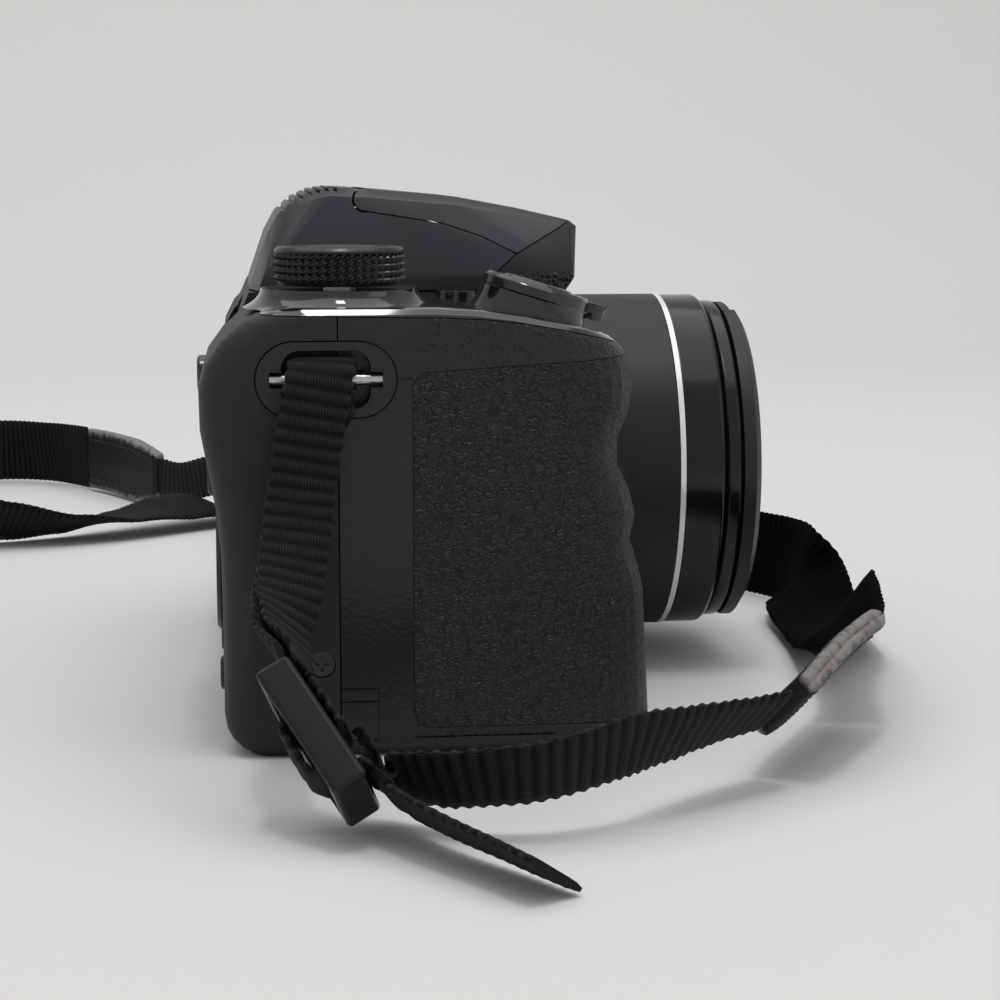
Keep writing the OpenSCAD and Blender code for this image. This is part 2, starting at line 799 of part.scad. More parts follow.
module gloss_deck() {
    color(gloss_black)
        difference() {
            union() {
                intersection() {
                    body_form();
                    above_deck();
                }
                translate([dial_x, dial_y, dial_seat_z])
                    flared_foot(dial_seat_r - 0.1, dial_seat_r + 2.6, 2.9, 5);
                difference() {
                    on_nose()
                        translate([0, 0, -lever_h - 0.3])
                            flared_foot(lever_r + 0.1, lever_r + 3.4, 7.6, 6);
                    side_prism(side_x - 5, 0)
                        polygon(concat([for (y = [-40:6:62]) [y, deck_under(y)]], [[62, 0], [-40, 0]]));
                }
            }
            shaft_holes();
        }
}

module shaft_holes() {
    translate([dial_x, dial_y, shoulder_z - 12])
        cylinder(h = 30, r = dial_shaft_r + fit);
    on_nose()
        translate([0, 0, -9])
            cylinder(h = 20, r = 2.4 + fit);
    on_nose()
        translate([0, 0, -shutter_sink - shutter_travel - 0.4])
            cylinder(h = 9, r = shutter_r + fit);
    translate([power_x, power_y, shoulder_z - 8])
        cylinder(h = 20, r = power_r + key_gap);
    translate([power_x, power_y, shoulder_z - 8])
        cylinder(h = 5.8, r = power_r + 1 + key_gap);
}

// Knurl of four rows of pyramids, from rings whose radius alternates
knurl_rows = 4;
knurl_deep = 0.75;
dial_ring_n = 2 * dial_teeth;

function dial_circle(r, z) = [for (i = [0:dial_ring_n - 1])
    [r * cos(i * 360 / dial_ring_n), r * sin(i * 360 / dial_ring_n), z]];
function knurl_circle(row, z) = [for (i = [0:dial_ring_n - 1])
    let (r = row % 2 == 1 && i % 2 == 1 ? dial_r : dial_r - knurl_deep)
    [r * cos(i * 360 / dial_ring_n), r * sin(i * 360 / dial_ring_n), z]];

module mode_dial() {
    band_low = 0.5;
    band_high = dial_h - 0.9;
    color(matte_black)
        translate([dial_x, dial_y, dial_z])
            loft(concat([dial_circle(dial_r - 1.1, 0), dial_circle(dial_r - knurl_deep - 0.1, 0.3)],
                [for (j = [0:2 * knurl_rows]) knurl_circle(j, mix(band_low, band_high,
                    j / (2 * knurl_rows)))],
                [dial_circle(dial_r - 0.35, dial_h - 0.75), dial_circle(dial_r - 0.35, dial_h - 0.4),
                    dial_circle(dial_r - 0.75, dial_h), dial_circle(dial_r - 1.5, dial_h),
                    dial_circle(dial_r - 1.9, dial_h - 0.3)]));
}

module dial_shaft() {
    color(steel)
        translate([dial_x, dial_y, dial_z - 9])
            cylinder(h = 9, r = dial_shaft_r);
}

module shutter_button() {
    color(gloss_black)
        on_nose()
            rotate_extrude()
                polygon([[0, -7.5], [2.4, -7.5], [2.4, -shutter_sink], [shutter_r, -shutter_sink],
                    [shutter_r, -0.2],
                    [shutter_r - 0.5, 0.3], [shutter_r - 1.6, 0.45], [0, 0.1]]);
}

module zoom_lever() {
    tab_len = 2.9;
    tab_r = 2.6;
    tab_h = 2.9;
    tab_y = -lever_r - tab_len + tab_r;
    color(gloss_black)
        on_nose()
            difference() {
                union() {
                    rotate_extrude()
                        polygon([[shutter_r + 0.35, -lever_h], [lever_r, -lever_h], [lever_r, -0.6],
                            [lever_r - 0.6, 0], [shutter_r + 0.75, 0], [shutter_r + 0.35, -0.4]]);
                    translate([0, 0, -tab_h])
                        linear_extrude(height = tab_h - 0.3)
                            difference() {
                                union() {
                                    translate([0, tab_y])
                                        circle(r = tab_r);
                                    translate([-tab_r, tab_y])
                                        square([2 * tab_r, tab_len]);
                                }
                                circle(r = lever_r - 0.3);
                            }
                }
                translate([0, 0, -tab_h - 1])
                    cylinder(h = tab_h - lever_h + 1, r = lever_r + 0.9);
                for (k = [-1:1])
                    translate([k * 1.4 - 0.3, -lever_r - tab_len - 1, -0.8])
                        cube([0.6, tab_len + 0.6, 2]);
            }
}

power_x = -36.5;
power_y = 9;
power_r = 3.2;

module power_button() {
    top = shoulder_z + 0.5;
    color(gloss_black)
        translate([power_x, power_y, 0]) {
            translate([0, 0, top - 4.4])
                cylinder(h = 4.4, r = power_r);
            translate([0, 0, top - 4.4])
                cylinder(h = 1.2, r = power_r + 0.9);
        }
}

// Screen and rear controls
screen_x0 = -20;
screen_x1 = far_x - 4;
screen_z0 = 8;
screen_z1 = 54.5;
window_t = 1.6;
window_proud = 0.15;
panel_t = 4;
rear_in = rear_reach - wall;

module rear_block(x0, x1, z0, z1, y0, y1, r) {
    translate([0, y1, 0])
        rotate([90, 0, 0])
            rounded_box([x0, z0, 0], [x1, z1, y1 - y0], r);
}

module lcd_window() {
    color(gloss_black)
        rear_block(screen_x0, screen_x1, screen_z0, screen_z1, rear_reach + window_proud - window_t,
            rear_reach + window_proud, 2);
}

module lcd_panel() {
    color(steel)
        translate([screen_x0 + 2, rear_reach + window_proud - window_t - 0.15 - panel_t, screen_z0 + 2])
            cube([screen_x1 - screen_x0 - 4, panel_t, screen_z1 - screen_z0 - 4]);
}

pad_x = -47;
pad_z = 25;
centre_r = 4.2;
movie_at = [-37, 54, 3];
play_at = [-60.5, 40.5, 2.8];
menu_at = [-61.5, 10.5, 2.6];
delete_at = [-32.5, 10.5, 2.6];
small_keys = [movie_at, play_at, menu_at, delete_at];
key_flange = 0.8;
key_back = rear_in - 0.3;

module key(at, proud) {
    face = rear_face(at[0], at[1]) + proud;
    along_y(at[0], at[1], key_back - 1, face - 0.4, at[2]);
    translate([at[0], face - 0.4, at[1]])
        rotate([-90, 0, 0])
            cylinder(h = 0.4, r1 = at[2], r2 = at[2] - 0.4);
    along_y(at[0], at[1], key_back - 1, key_back, at[2] + key_flange);
}

module movie_button() color(gloss_black) key(movie_at, 0.6);
module play_button() color(matte_black) key(play_at, 0.6);
module menu_button() color(matte_black) key(menu_at, 0.6);
module delete_button() color(matte_black) key(delete_at, 0.6);

module control_pad() {
    face = rear_face(pad_x, pad_z) + 1;
    color(matte_black)
        translate([pad_x, 0, pad_z])
            rotate([-90, 0, 0])
                rotate_extrude()
                    polygon([[centre_r + 0.3, key_back - 1], [pad_r + 0.6, key_back - 1],
                        [pad_r + 0.6, key_back - 0.2], [pad_r, key_back - 0.2], [pad_r, face - 0.6],
                        [pad_r - 0.6, face], [pad_r - 3, face - 0.5],
                        [centre_r + 0.8, face - 0.5], [centre_r + 0.3, face - 0.8]]);
}

module centre_button() {
    face = rear_face(pad_x, pad_z) + 0.7;
    color(gloss_black) {
        along_y(pad_x, pad_z, key_back - 1.2, face, centre_r);
        along_y(pad_x, pad_z, key_back - 2.2, key_back - 1.2, centre_r + 0.8);
    }
}

module key_board() {
    color(board_green)
        translate([side_x + 8, key_back - 4.4, 5])
            cube([screen_x0 - 1 - side_x - 8, 1.4, shoulder_z - 13]);
}

module key_holes() {
    for (at = small_keys)
        along_y(at[0], at[1], rear_in - 5, rear_reach + 10, at[2] + key_gap);
    along_y(pad_x, pad_z, rear_in - 5, rear_reach + 10, pad_r + 0.35);
}

// Strap lugs, written for the grip side and mirrored to the far side
lug_y = 31.6;
lug_z = 56.2;
lug_w = 20.4;
lug_h = 11;
lug_t = 2.4;
lug_slot_w = 12.9;
lug_notch_w = 16.4;
lug_notch_h = 2.3;
lug_slot_h = 8.5;
lug_slot_r = 2.5;
lug_proud = 0.2;
bar_r = 0.85;
bar_in = 1;

// Upright oval against the side at x, standing inwards along the sign of turn
module side_oval(w, h, x0, x1) {
    hull()
        for (s = [-1, 1])
            along_x(lug_y + s * (w - h) / 2, lug_z, x0, x1, h / 2, $fn = 32);
}

// Slot with small round corners for the webbing
module side_slot(w, h, r, x0, x1) {
    hull()
        for (y = [-1, 1], z = [-1, 1])
            along_x(lug_y + y * (w / 2 - r), lug_z + z * (h / 2 - r), x0, x1, r, $fn = 24);
}

module lug_plate(face, inward) {
    x0 = min(face - inward * lug_proud, face + inward * (lug_t - lug_proud));
    x1 = max(face - inward * lug_proud, face + inward * (lug_t - lug_proud));
    difference() {
        side_oval(lug_w, lug_h, x0, x1);
        side_slot(lug_slot_w, lug_slot_h, lug_slot_r, x0 - 1, x1 + 1);
        translate([x0 - 1, lug_y - lug_notch_w / 2, lug_z - lug_notch_h / 2])
            cube([x1 - x0 + 2, lug_notch_w, lug_notch_h]);
        along_y(face + inward * bar_in, lug_z, lug_y - lug_w / 2 + 0.9, lug_y + lug_w / 2 - 0.9,
            bar_r + shaft_gap);
    }
}

module lug_bar(face, inward) {
    along_y(face + inward * bar_in, lug_z, lug_y - lug_w / 2 + 1, lug_y + lug_w / 2 - 1, bar_r);
}

module lug_pockets() {
    side_oval(lug_w + 2 * fit, lug_h + 2 * fit, side_x - 3, side_x + lug_t - lug_proud + 0.05);
    side_slot(lug_slot_w, lug_slot_h, lug_slot_r, side_x - 3, side_x + 4.4);
    side_oval(lug_w + 2 * fit, lug_h + 2 * fit, far_x - lug_t + lug_proud - 0.05, far_x + 3);
    side_slot(lug_slot_w, lug_slot_h, lug_slot_r, far_x - 4.4, far_x + 3);
}

module lug_plate_right() color(matte_black) lug_plate(side_x, 1);
module lug_plate_left() color(matte_black) lug_plate(far_x, -1);
module lug_bar_right() color(steel) lug_bar(side_x, 1);
module lug_bar_left() color(steel) lug_bar(far_x, -1);

// Jack cover on the far side, hinged on moulded pips at its rear edge
jack_y0 = 17;
jack_y1 = 28;
jack_z0 = 14;
jack_z1 = 34;
jack_t = 1.5;
pip_r = 0.45;

module jack_cover() {
    color(matte_black) {
        difference() {
            translate([far_x - jack_t, jack_y0, jack_z0])
                cube([jack_t, jack_y1 - jack_y0, jack_z1 - jack_z0]);
            translate([far_x - 0.5, jack_y0 + 1, (jack_z0 + jack_z1) / 2 - 4])
                cube([1, 1.4, 8]);
        }
        translate([far_x - jack_t / 2, jack_y1, jack_z0])
            cylinder(h = jack_z1 - jack_z0, r = jack_t / 2);
        translate([far_x - jack_t / 2, jack_y1, jack_z0 - 1])
            cylinder(h = jack_z1 - jack_z0 + 2, r = pip_r);
    }
}

module jack_pocket() {
    translate([far_x - jack_t - fit, jack_y0 - fit, jack_z0 - fit])
        cube([jack_t + fit + 5, jack_y1 - jack_y0 + jack_t / 2 + 2 * fit, jack_z1 - jack_z0 + 2 * fit]);
    translate([far_x - jack_t / 2, jack_y1, jack_z0 - 1.2])
        cylinder(h = jack_z1 - jack_z0 + 2.4, r = pip_r + 0.15);
    translate([far_x - 12, jack_y0 + 2 - fit, jack_z0 + 5 - fit])
        cube([20, 7 + 2 * fit, 10 + 2 * fit]);
}

module jack_socket() {
    color(steel)
        difference() {
            translate([far_x - jack_t - 8, jack_y0 + 2, jack_z0 + 5])
                cube([7.6, 7, 10]);
            translate([far_x - jack_t - 6, jack_y0 + 4, jack_z0 + 6.2])
                cube([8, 3, 7.6]);
        }
}

lamp_x = 35;
lamp_z = 56;
lamp_r = 2.4;

module af_lamp() {
    front = plan_front(lamp_x);
    color("orangered")
        along_y(lamp_x, lamp_z, front - 0.6, front + 4.4, lamp_r);
}

module tripod_socket() {
    color(steel)
        difference() {
            cylinder(h = socket_depth + 0.7, r = socket_r + 1.4);
            translate([0, 0, -1])
                cylinder(h = socket_depth + 1, r = socket_r);
        }
}

screw_r = 1.9;
screw_h = 1.4;
base_screws = [[-28, 38], [38, 38], [38, 14], [-66, 34]];
side_screw = [32.6, 14.2];

module case_screws() {
    color(steel) {
        for (p = base_screws)
            translate([p[0], p[1], 0.5])
                screw();
        for (s = [-1, 1])
            translate([s < 0 ? side_x + 0.5 : far_x - 0.5, side_screw[0], side_screw[1]])
                rotate([0, -s * 90, 0])
                    screw();
    }
}

module screw() {
    difference() {
        cylinder(h = screw_h, r = screw_r);
        for (a = [0, 90])
            rotate([0, 0, a])
                translate([-1.1, -0.25, -0.1])
                    cube([2.2, 0.5, 0.7]);
    }
}

module screw_pockets() {
    for (p = base_screws)
        translate([p[0], p[1], -1])
            cylinder(h = screw_h + 1.55, r = screw_r + 0.1);
    for (x = [side_x - 1, far_x - screw_h - 0.55])
        along_x(side_screw[0], side_screw[1], x, x + screw_h + 1.55, screw_r + 0.1);
}

// Fine lines moulded in the grip side: the cable flap, its crease and the line along the base
line_w = 0.3;
line_d = 0.4;
flap_y = 24.2;
flap_low = 2.6;
flap_crease = 8.4;
flap_top = 10.3;

module side_line(y0, y1, z0, z1) {
    translate([side_x - 1, y0, z0])
        cube([1 + line_d, y1 - y0, z1 - z0]);
}

module side_lines() {
    for (z = [flap_low, flap_crease, flap_top])
        side_line(flap_y, seam_y, z, z + line_w);
    side_line(flap_y, flap_y + line_w, flap_low, flap_top + line_w);
    side_line(-2, skin_rear_y, flap_low + 0.2, flap_low + 0.2 + line_w);
    side_line(skin_rear_y, lug_y - lug_w / 2 + 0.6, lug_z, lug_z + line_w);
}

// Covers
module common_cuts() {
    lug_pockets();
    screw_pockets();
    above_deck(0.15);
    shaft_holes();
    about_lens()
        translate([0, 0, -60])
            cylinder(h = 120, r = barrel_r + 0.15, $fn = 96);
}

module front_cover() {
    inner_x = far_x - wall;
    color(matte_black)
        difference() {
            union() {
                intersection() {
                    body_form();
                    front_half(seam_gap);
                }
                intersection() {
                    hump_form();
                    nose_region(-seam_gap / 2);
                }
            }
            difference() {
                skin_region(0.1);
                body_form(skin_t + 0.1);
            }
            skin_lip(0.1);
            cell_cluster(box_r + fit, box_low - 0.1, box_top + fit);
            door_opening();
            rounded_box([door_in_x + 1.35, 7.5, wall], [36, 40, shoulder_z - wall - 1], 3);
            rounded_box([30, 15.5, wall], [inner_x, 40, shoulder_z - wall - 1], 3);
            rounded_box([side_x + 5.5, 22, wall + 1], [door_in_x + 2.85, 40, shoulder_z - wall - 3], 3);
            jack_pocket();
            side_lines();
            along_y(lamp_x, lamp_z, -20, 10, lamp_r + 0.1);
            translate([0, 0, -1])
                cylinder(h = 8, r = socket_r + 1.5);
            common_cuts();
        }
}

module rear_cover() {
    color(matte_black)
        difference() {
            union() {
                intersection() {
                    body_form();
                    translate([-200, seam_y, -200])
                        cube([400, 400, 400]);
                }
                side_prism(-hump_foot_w, hump_foot_w)
                    polygon([[33, shoulder_z - 0.05], [42.3, shoulder_z - 0.05], [44, shoulder_z - 4],
                        [40, shoulder_z - 8.6], [33, shoulder_z - 8.6]]);
            }
            rounded_box([side_x + 5.5, 20, wall + 1], [screen_x0 + 8, rear_in, shoulder_z - wall - 3], 4);
            rounded_box([screen_x0 - 8, 20, wall + 1], [far_x - wall, rear_in, shoulder_z - wall - 3], 4);
            rear_block(screen_x0 - 0.1, screen_x1 + 0.1, screen_z0 - 0.1, screen_z1 + 0.1,
                rear_reach + window_proud - window_t - 0.1, rear_reach + 5, 2.1);
            rear_block(screen_x0 + 1.5, screen_x1 - 1.5, screen_z0 + 1.5, screen_z1 - 1.5, rear_in - 4,
                rear_reach, 1);
            key_holes();
            common_cuts();
        }
}

// Strap routes: each row is a point on the middle of the band and the direction across its width
function band_ring(route, k, w, t) =
    let (n = len(route), p = route[k][0],
        along = unit(route[min(k + 1, n - 1)][0] - route[max(k - 1, 0)][0]),
        across = unit(route[k][1] - along * (route[k][1] * along)),
        thick = cross(along, across))
    [for (c = [[1, 1], [-1, 1], [-1, -1], [1, -1]]) p + across * c[0] * w / 2 + thick * c[1] * t / 2];

// Smooth line through the rows, in two steps to a row
function between(a, b, c, d, t) =
    0.5 * (2 * b + (c - a) * t + (2 * a - 5 * b + 4 * c - d) * t * t + (3 * b - a - 3 * c + d) * t * t * t);
function fine(route) =
    let (last = len(route) - 1)
    concat([for (k = [0:last - 1], t = [0, 0.5])
        let (a = route[max(k - 1, 0)], b = route[k], c = route[k + 1], d = route[min(k + 2, last)])
        [between(a[0], b[0], c[0], d[0], t), mix(b[1], c[1], t)]], [route[last]]);

// Both faces of the band are split along the same diagonal, so that two layers keep their distance in a twist
module band(route, w, t) {
    rows = fine(route);
    n = len(rows);
    split = function(a, b, c, d, i) i == 2 ? [[a, d, b], [b, d, c]] : [[a, c, b], [a, d, c]];
    polyhedron([for (k = [0:n - 1]) each band_ring(rows, k, w, t)],
        concat([[0, 1, 2], [0, 2, 3], [4 * n - 4, 4 * n - 2, 4 * n - 3], [4 * n - 4, 4 * n - 1, 4 * n - 2]],
            [for (k = [0:n - 2], i = [0:3])
                each split(4 * k + i, 4 * k + (i + 1) % 4, 4 * k + 4 + (i + 1) % 4, 4 * k + 4 + i, i)]));
}

// Buckle frame: across the webbing, along the strap and through the buckle
buckle_at = [-112.72, 34.54, 12.2];
buckle_across = unit([0.79, -0.19, -0.58]);
buckle_along = unit(cross(cross(buckle_across, [-0.59, -0.48, -0.65]), buckle_across));
buckle_through = cross(buckle_along, buckle_across);
slider_len = 20.4;
slider_t = 5;
slider_rim = 1.7;
buckle_t = 6.2;
buckle_rim = 1.6;
ply_step = 1.45;
function on_buckle(a, l, t) = buckle_at + buckle_across * a + buckle_along * l + buckle_through * t;

tail_route = [
    [[-72, 32.1, 55.8], [0, 1, 0]], [[-72.2, 32.1, 55], [0, 1, 0]], [[-74.2, 32.1, 54.5], [0, 1, 0]],
    [[-76, 32.2, 54], [0, 1, 0]], [[-77, 32.7, 52], [0, 1, 0]], [[-77.8, 34, 49.6], [0, 1, 0.05]],
    [[-79.7, 35.4, 41.4], [0, 1, 0.05]], [[-83.1, 36.6, 34.1], [-0.05, 1, 0.1]],
    [[-88.2, 37.9, 27.7], [-0.15, 0.95, 0.25]], [[-96, 39.6, 22.8], [-0.42, 0.66, 0.6]],
    [[-105.9, 38.3, 20.2], [-0.79, 0.19, 0.58]], [on_buckle(0, -8.6, 1.4), -buckle_across],
    [on_buckle(0, -6.4, 0.1), -buckle_across], [on_buckle(0, -4.2, -2), -buckle_across],
    [on_buckle(0, -2.4, -3.25), -buckle_across], [on_buckle(0, -0.6, -3.5), -buckle_across],
    [on_buckle(0, 3.6, -3.5), -buckle_across], [on_buckle(0, 5.2, -2.6), -buckle_across],
    [on_buckle(0, 6.1, -0.6), -buckle_across], [on_buckle(0, 6.6, 1.4), -buckle_across],
    [on_buckle(0, 7.3, 3), -buckle_across], [on_buckle(0, 9.2, 3.8), -buckle_across],
    [[-118.4, 24.8, 6], [-0.76, 0.3, 0.56]], [[-127, 19.9, 5], [-0.72, 0.4, 0.57]],
    [[-136.5, 13.3, 4], [-0.725, 0.43, 0.54]], [[-145.8, 7.7, 3.5], [-0.735, 0.46, 0.5]]];

ply_route = [
    [[-72, 32.1, 56.7], [0, 1, 0]], [[-72.2, 32.1, 57.8], [0, 1, 0]], [[-74, 32.1, 58.6], [0, 1, 0]],
    [[-75.9, 32.2, 58.7], [0, 1, 0]], [[-78, 32.7, 56.6], [0, 1, 0]], [[-79.6, 34, 50], [0, 1, 0.05]],
    [[-81.4, 35.4, 42], [0, 1, 0.05]], [[-84.6, 36.4, 35], [-0.05, 1, 0.1]],
    [[-89.4, 37.4, 29], [-0.15, 0.95, 0.25]], [[-96.5, 38.2, 24], [-0.42, 0.66, 0.6]],
    [on_buckle(0, -10.8, 3.6), -buckle_across], [on_buckle(0, -7.2, 3.45), -buckle_across],
    [on_buckle(0, -2.9, 3.45), -buckle_across], [on_buckle(0, 1.2, 3.45), -buckle_across]];

lead_route = [
    [on_buckle(0, 1.2, 5.15), buckle_across], [[-113.3, 27.8, 11.2], [0.75, -0.2, -0.62]],
    [[-112.5, 26, 7.6], [0.66, -0.16, -0.72]], [[-114.4, 22.4, 7.4], [0.58, -0.1, -0.8]],
    [[-117.5, 17.7, 7.8], [0.5, -0.05, -0.86]], [[-119, 12.6, 8.4], [0.45, 0, -0.88]],
    [[-119.4, 6.8, 8.9], [0.42, 0, -0.9]], [[-118, 0.7, 9.8], [0.38, 0.03, -0.92]],
    [[-114.5, -6.5, 10.9], [0.3, 0.12, -0.94]], [[-108.5, -14.4, 10.8], [0.36, 0.36, -0.86]],
    [[-104.5, -19.6, 10.8], [0.42, 0.46, -0.78]], [[-100.7, -24.6, 10.8], [0.47, 0.52, -0.71]],
    [[-97.2, -30.1, 11], [0.5, 0.54, -0.68]]];

tab_right_route = [
    [[-96, -31.4, 11], [0.49, 0.55, -0.68]], [[-90, -35.2, 11.8], [0.46, 0.5, -0.73]],
    [[-82, -39.7, 12.4], [0.45, 0.48, -0.75]], [[-74, -44.4, 13], [0.46, 0.5, -0.73]],
    [[-66, -48.7, 13.2], [0.48, 0.53, -0.7]]];

neck_route = [
    [[-64.6, -49.2, 13.4], [0.48, 0.52, -0.71]], [[-57, -51.4, 14.2], [0.52, 0.4, -0.76]],
    [[-48, -53.4, 14.4], [0.51, 0.34, -0.79]], [[-39, -55.4, 13.2], [0.44, 0.42, -0.79]],
    [[-30, -57.4, 10.4], [0.33, 0.65, -0.68]], [[-21, -59.6, 6.8], [0.2, 0.88, -0.43]],
    [[-12, -61.4, 4], [0.1, 0.98, -0.16]], [[0, -62.6, 2.9], [0, 1, -0.05]],
    [[12, -63.4, 3.8], [-0.12, 0.97, -0.15]], [[21, -64.2, 6.4], [-0.2, 0.82, -0.53]],
    [[29, -64.8, 8.9], [-0.1, 0.25, -0.96]], [[36, -64.2, 9.2], [0, 0.08, -0.99]],
    [[43, -61.4, 9.2], [0, 0, -1]], [[51, -57.4, 9.2], [0, 0, -1]], [[66, -52, 9.2], [0, 0, -1]],
    [[90, -43, 9.2], [0, 0, -1]], [[112, -30, 9.2], [0, 0, -1]], [[132, -12, 9], [0.2, 0, -1]],
    [[148, 8, 7.4], [0.8, -0.4, -1]], [[158, 26, 2.6], [1, -0.3, -0.12]], [[161, 38, 1.8], [1, 0.1, 0]],
    [[158.5, 46, 2], [0.95, 0.3, 0.06]], [[154.5, 53, 4.8], [0.87, 0.47, 0.2]],
    [[149, 60, 5.2], [0.82, 0.53, 0.2]], [[140, 71, 4.6], [0.84, 0.54, 0]],
    [[131.4, 84, 4.2], [0.85, 0.42, -0.37]], [[126.4, 98, 6], [0.75, 0.22, -0.6]],
    [[124.6, 112, 8.2], [0.5, 0, -0.87]], [[129, 127, 9], [0, 0, -1]], [[143, 139, 9], [0, 0, -1]],
    [[166, 146, 9], [0, 0, -1]], [[188, 145, 9], [0, 0, -1]], [[210, 138, 9], [0, 0, -1]],
    [[229, 126, 9], [0, 0, -1]], [[239, 110, 9], [0.15, 0, -1]], [[234, 96, 8.9], [0.25, 0, -1]],
    [[221, 84.5, 8.8], [0.15, 0, -1]]];

tab_left_route = [
    [[220.2, 84, 8.8], [0, 0, -1]], [[211, 78.5, 8.8], [0, 0, -1]], [[198, 72, 8.6], [0, 0, -1]],
    [[183.5, 64.5, 8.4], [0, 0, -1]]];

lead_left_route = [
    [[182.7, 64.1, 8.2], [0, 0, -1]], [[174, 58.6, 8], [0, 0, -1]], [[161, 50, 11.4], [0, 0, -1]],
    [[150, 45.5, 10.4], [0, 0, -1]], [[140, 42, 8.6], [0, 0, -1]], [[116, 37.5, 6.8], [0, 0.2, -1]],
    [[96, 35.2, 8], [0, 0.5, -0.8]], [[84, 34.2, 11], [0, 1, -0.3]], [[78, 33.6, 15.2], [0, 1, 0]]];

buckle_left_low = [77.6, 33.4, 15.8];
buckle_left_high = [67.8, 32.6, 30];

ply_left_route = [
    [[49.4, 32, 57.6], [0, 1, 0]], [[51.4, 32, 55], [0, 1, 0]], [[54, 32.1, 49], [0, 1, 0]],
    [[60, 32.3, 39.4], [0, 1, 0]], [[67.4, 32.6, 30.5], [0, 1, 0]]];

module strap_tail() color(web_black) band(tail_route, web_w, web_t);
module strap_ply_right() color(web_black) band(ply_route, web_w, web_t);
module strap_lead_right() color(web_black) band(lead_route, web_w, web_t);
module neck_strap() color(web_black) band(neck_route, neck_w, web_t);
module strap_lead_left() color(web_black) band(lead_left_route, web_w, web_t);
module strap_ply_left() color(web_black) band(ply_left_route, web_w, 2 * web_t);

tab_t = 3.4;
module strap_tab_right() color(rubber_black) band(tab_right_route, neck_w - 1, tab_t);
module strap_tab_left() color(rubber_black) band(tab_left_route, neck_w - 1, tab_t);

// Slider buckle: a frame with a thick lower bar, a middle bar and a thin upper bar, woven over by the webbing
module slider_frame() {
    w = web_w + 2 * slider_rim;
    open_w = web_w + 1.4;
    edge = 0.45;
    middle = 1.4;
    lower = 8;
    upper = -7.8;
    difference() {
        hull() {
            cube([w, slider_len - 2 * edge, slider_t - 2 * edge], center = true);
            cube([w - 2 * edge, slider_len, slider_t - 2 * edge], center = true);
            cube([w - 2 * edge, slider_len - 2 * edge, slider_t], center = true);
        }
        translate([-open_w / 2, middle, -slider_t])
            cube([open_w, lower - middle, 2 * slider_t]);
        translate([-open_w / 2, upper, -slider_t])
            cube([open_w, -middle - upper, 2 * slider_t]);
        translate([-open_w / 2, -slider_len, -slider_t])
            cube([open_w, slider_len + upper + 1, slider_t + 0.8]);
    }
}

// Plain buckle: a bevelled block with two passages for the webbing and a toothed end
module buckle_block(long) {
    w = web_w + 2 * buckle_rim;
    edge = 1;
    difference() {
        hull() {
            cube([w - 2 * edge, long, buckle_t - 2], center = true);
            cube([w, long - 2 * edge, buckle_t - 2 - 2 * edge + 1], center = true);
            cube([w - 2 * edge, long - 3, buckle_t], center = true);
        }
        for (s = [-1, 1])
            translate([0, 0, s * ply_step])
                cube([web_w + 0.8, long + 2, web_t + 0.7], center = true);
        for (k = [-2:2])
            translate([k * 2, long / 2, buckle_t / 2 - 0.6])
                rotate([0, 0, 45])
                    cube([1.1, 1.1, 2], center = true);
    }
}

module strap_buckle_right() {
    c = [for (k = [0:2]) [buckle_across[k], buckle_along[k], -buckle_through[k], buckle_at[k]]];
    color(gloss_black)
        multmatrix([c[0], c[1], c[2], [0, 0, 0, 1]])
            slider_frame();
}

module strap_buckle_left() {
    run_dir = buckle_left_high - buckle_left_low;
    lean = atan2(run_dir[2], run_dir[0]);
    color(gloss_black)
        translate((buckle_left_high + buckle_left_low) / 2)
            rotate([0, -lean, 0])
                rotate([0, 0, 90])
                    buckle_block(norm(run_dir) - 0.8);
}

front_cover();
rear_cover();
top_cover();
gloss_deck();
grip_skin();
flash_lid();
flash_window();
flash_hinge_pin();
flash_release();
mode_dial();
dial_shaft();
shutter_button();
zoom_lever();
power_button();
lens_barrel();
lens_trim_ring();
zoom_mid_tube();
zoom_front_tube();
lens_bezel();
front_lens();
rear_lens();
image_sensor();
main_board();
lens_cap();
cap_tab_upper();
cap_tab_lower();
lcd_window();
lcd_panel();
key_board();
movie_button();
play_button();
menu_button();
delete_button();
control_pad();
centre_button();
battery_box();
battery_cells();
battery_contacts();
battery_door();
door_hinge_pin();
flash_capacitor();
tripod_socket();
lug_plate_right();
lug_plate_left();
lug_bar_right();
lug_bar_left();
jack_cover();
jack_socket();
af_lamp();
case_screws();
strap_tail();
strap_ply_right();
strap_buckle_right();
strap_lead_right();
strap_tab_right();
neck_strap();
strap_tab_left();
strap_lead_left();
strap_buckle_left();
strap_ply_left();
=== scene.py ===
# %% [markdown]
# # A bridge camera with its neck strap
# The CAD model is the frame of this lesson. It already holds the moulded covers, the lens, the keys and the
# soft strap as plain bands. Here each visible piece gets its finish, hard edges are rounded as a mould would
# leave them, and the plain bands are replaced by woven webbing and stitched leather.

# %% Load the frame
import json
import math

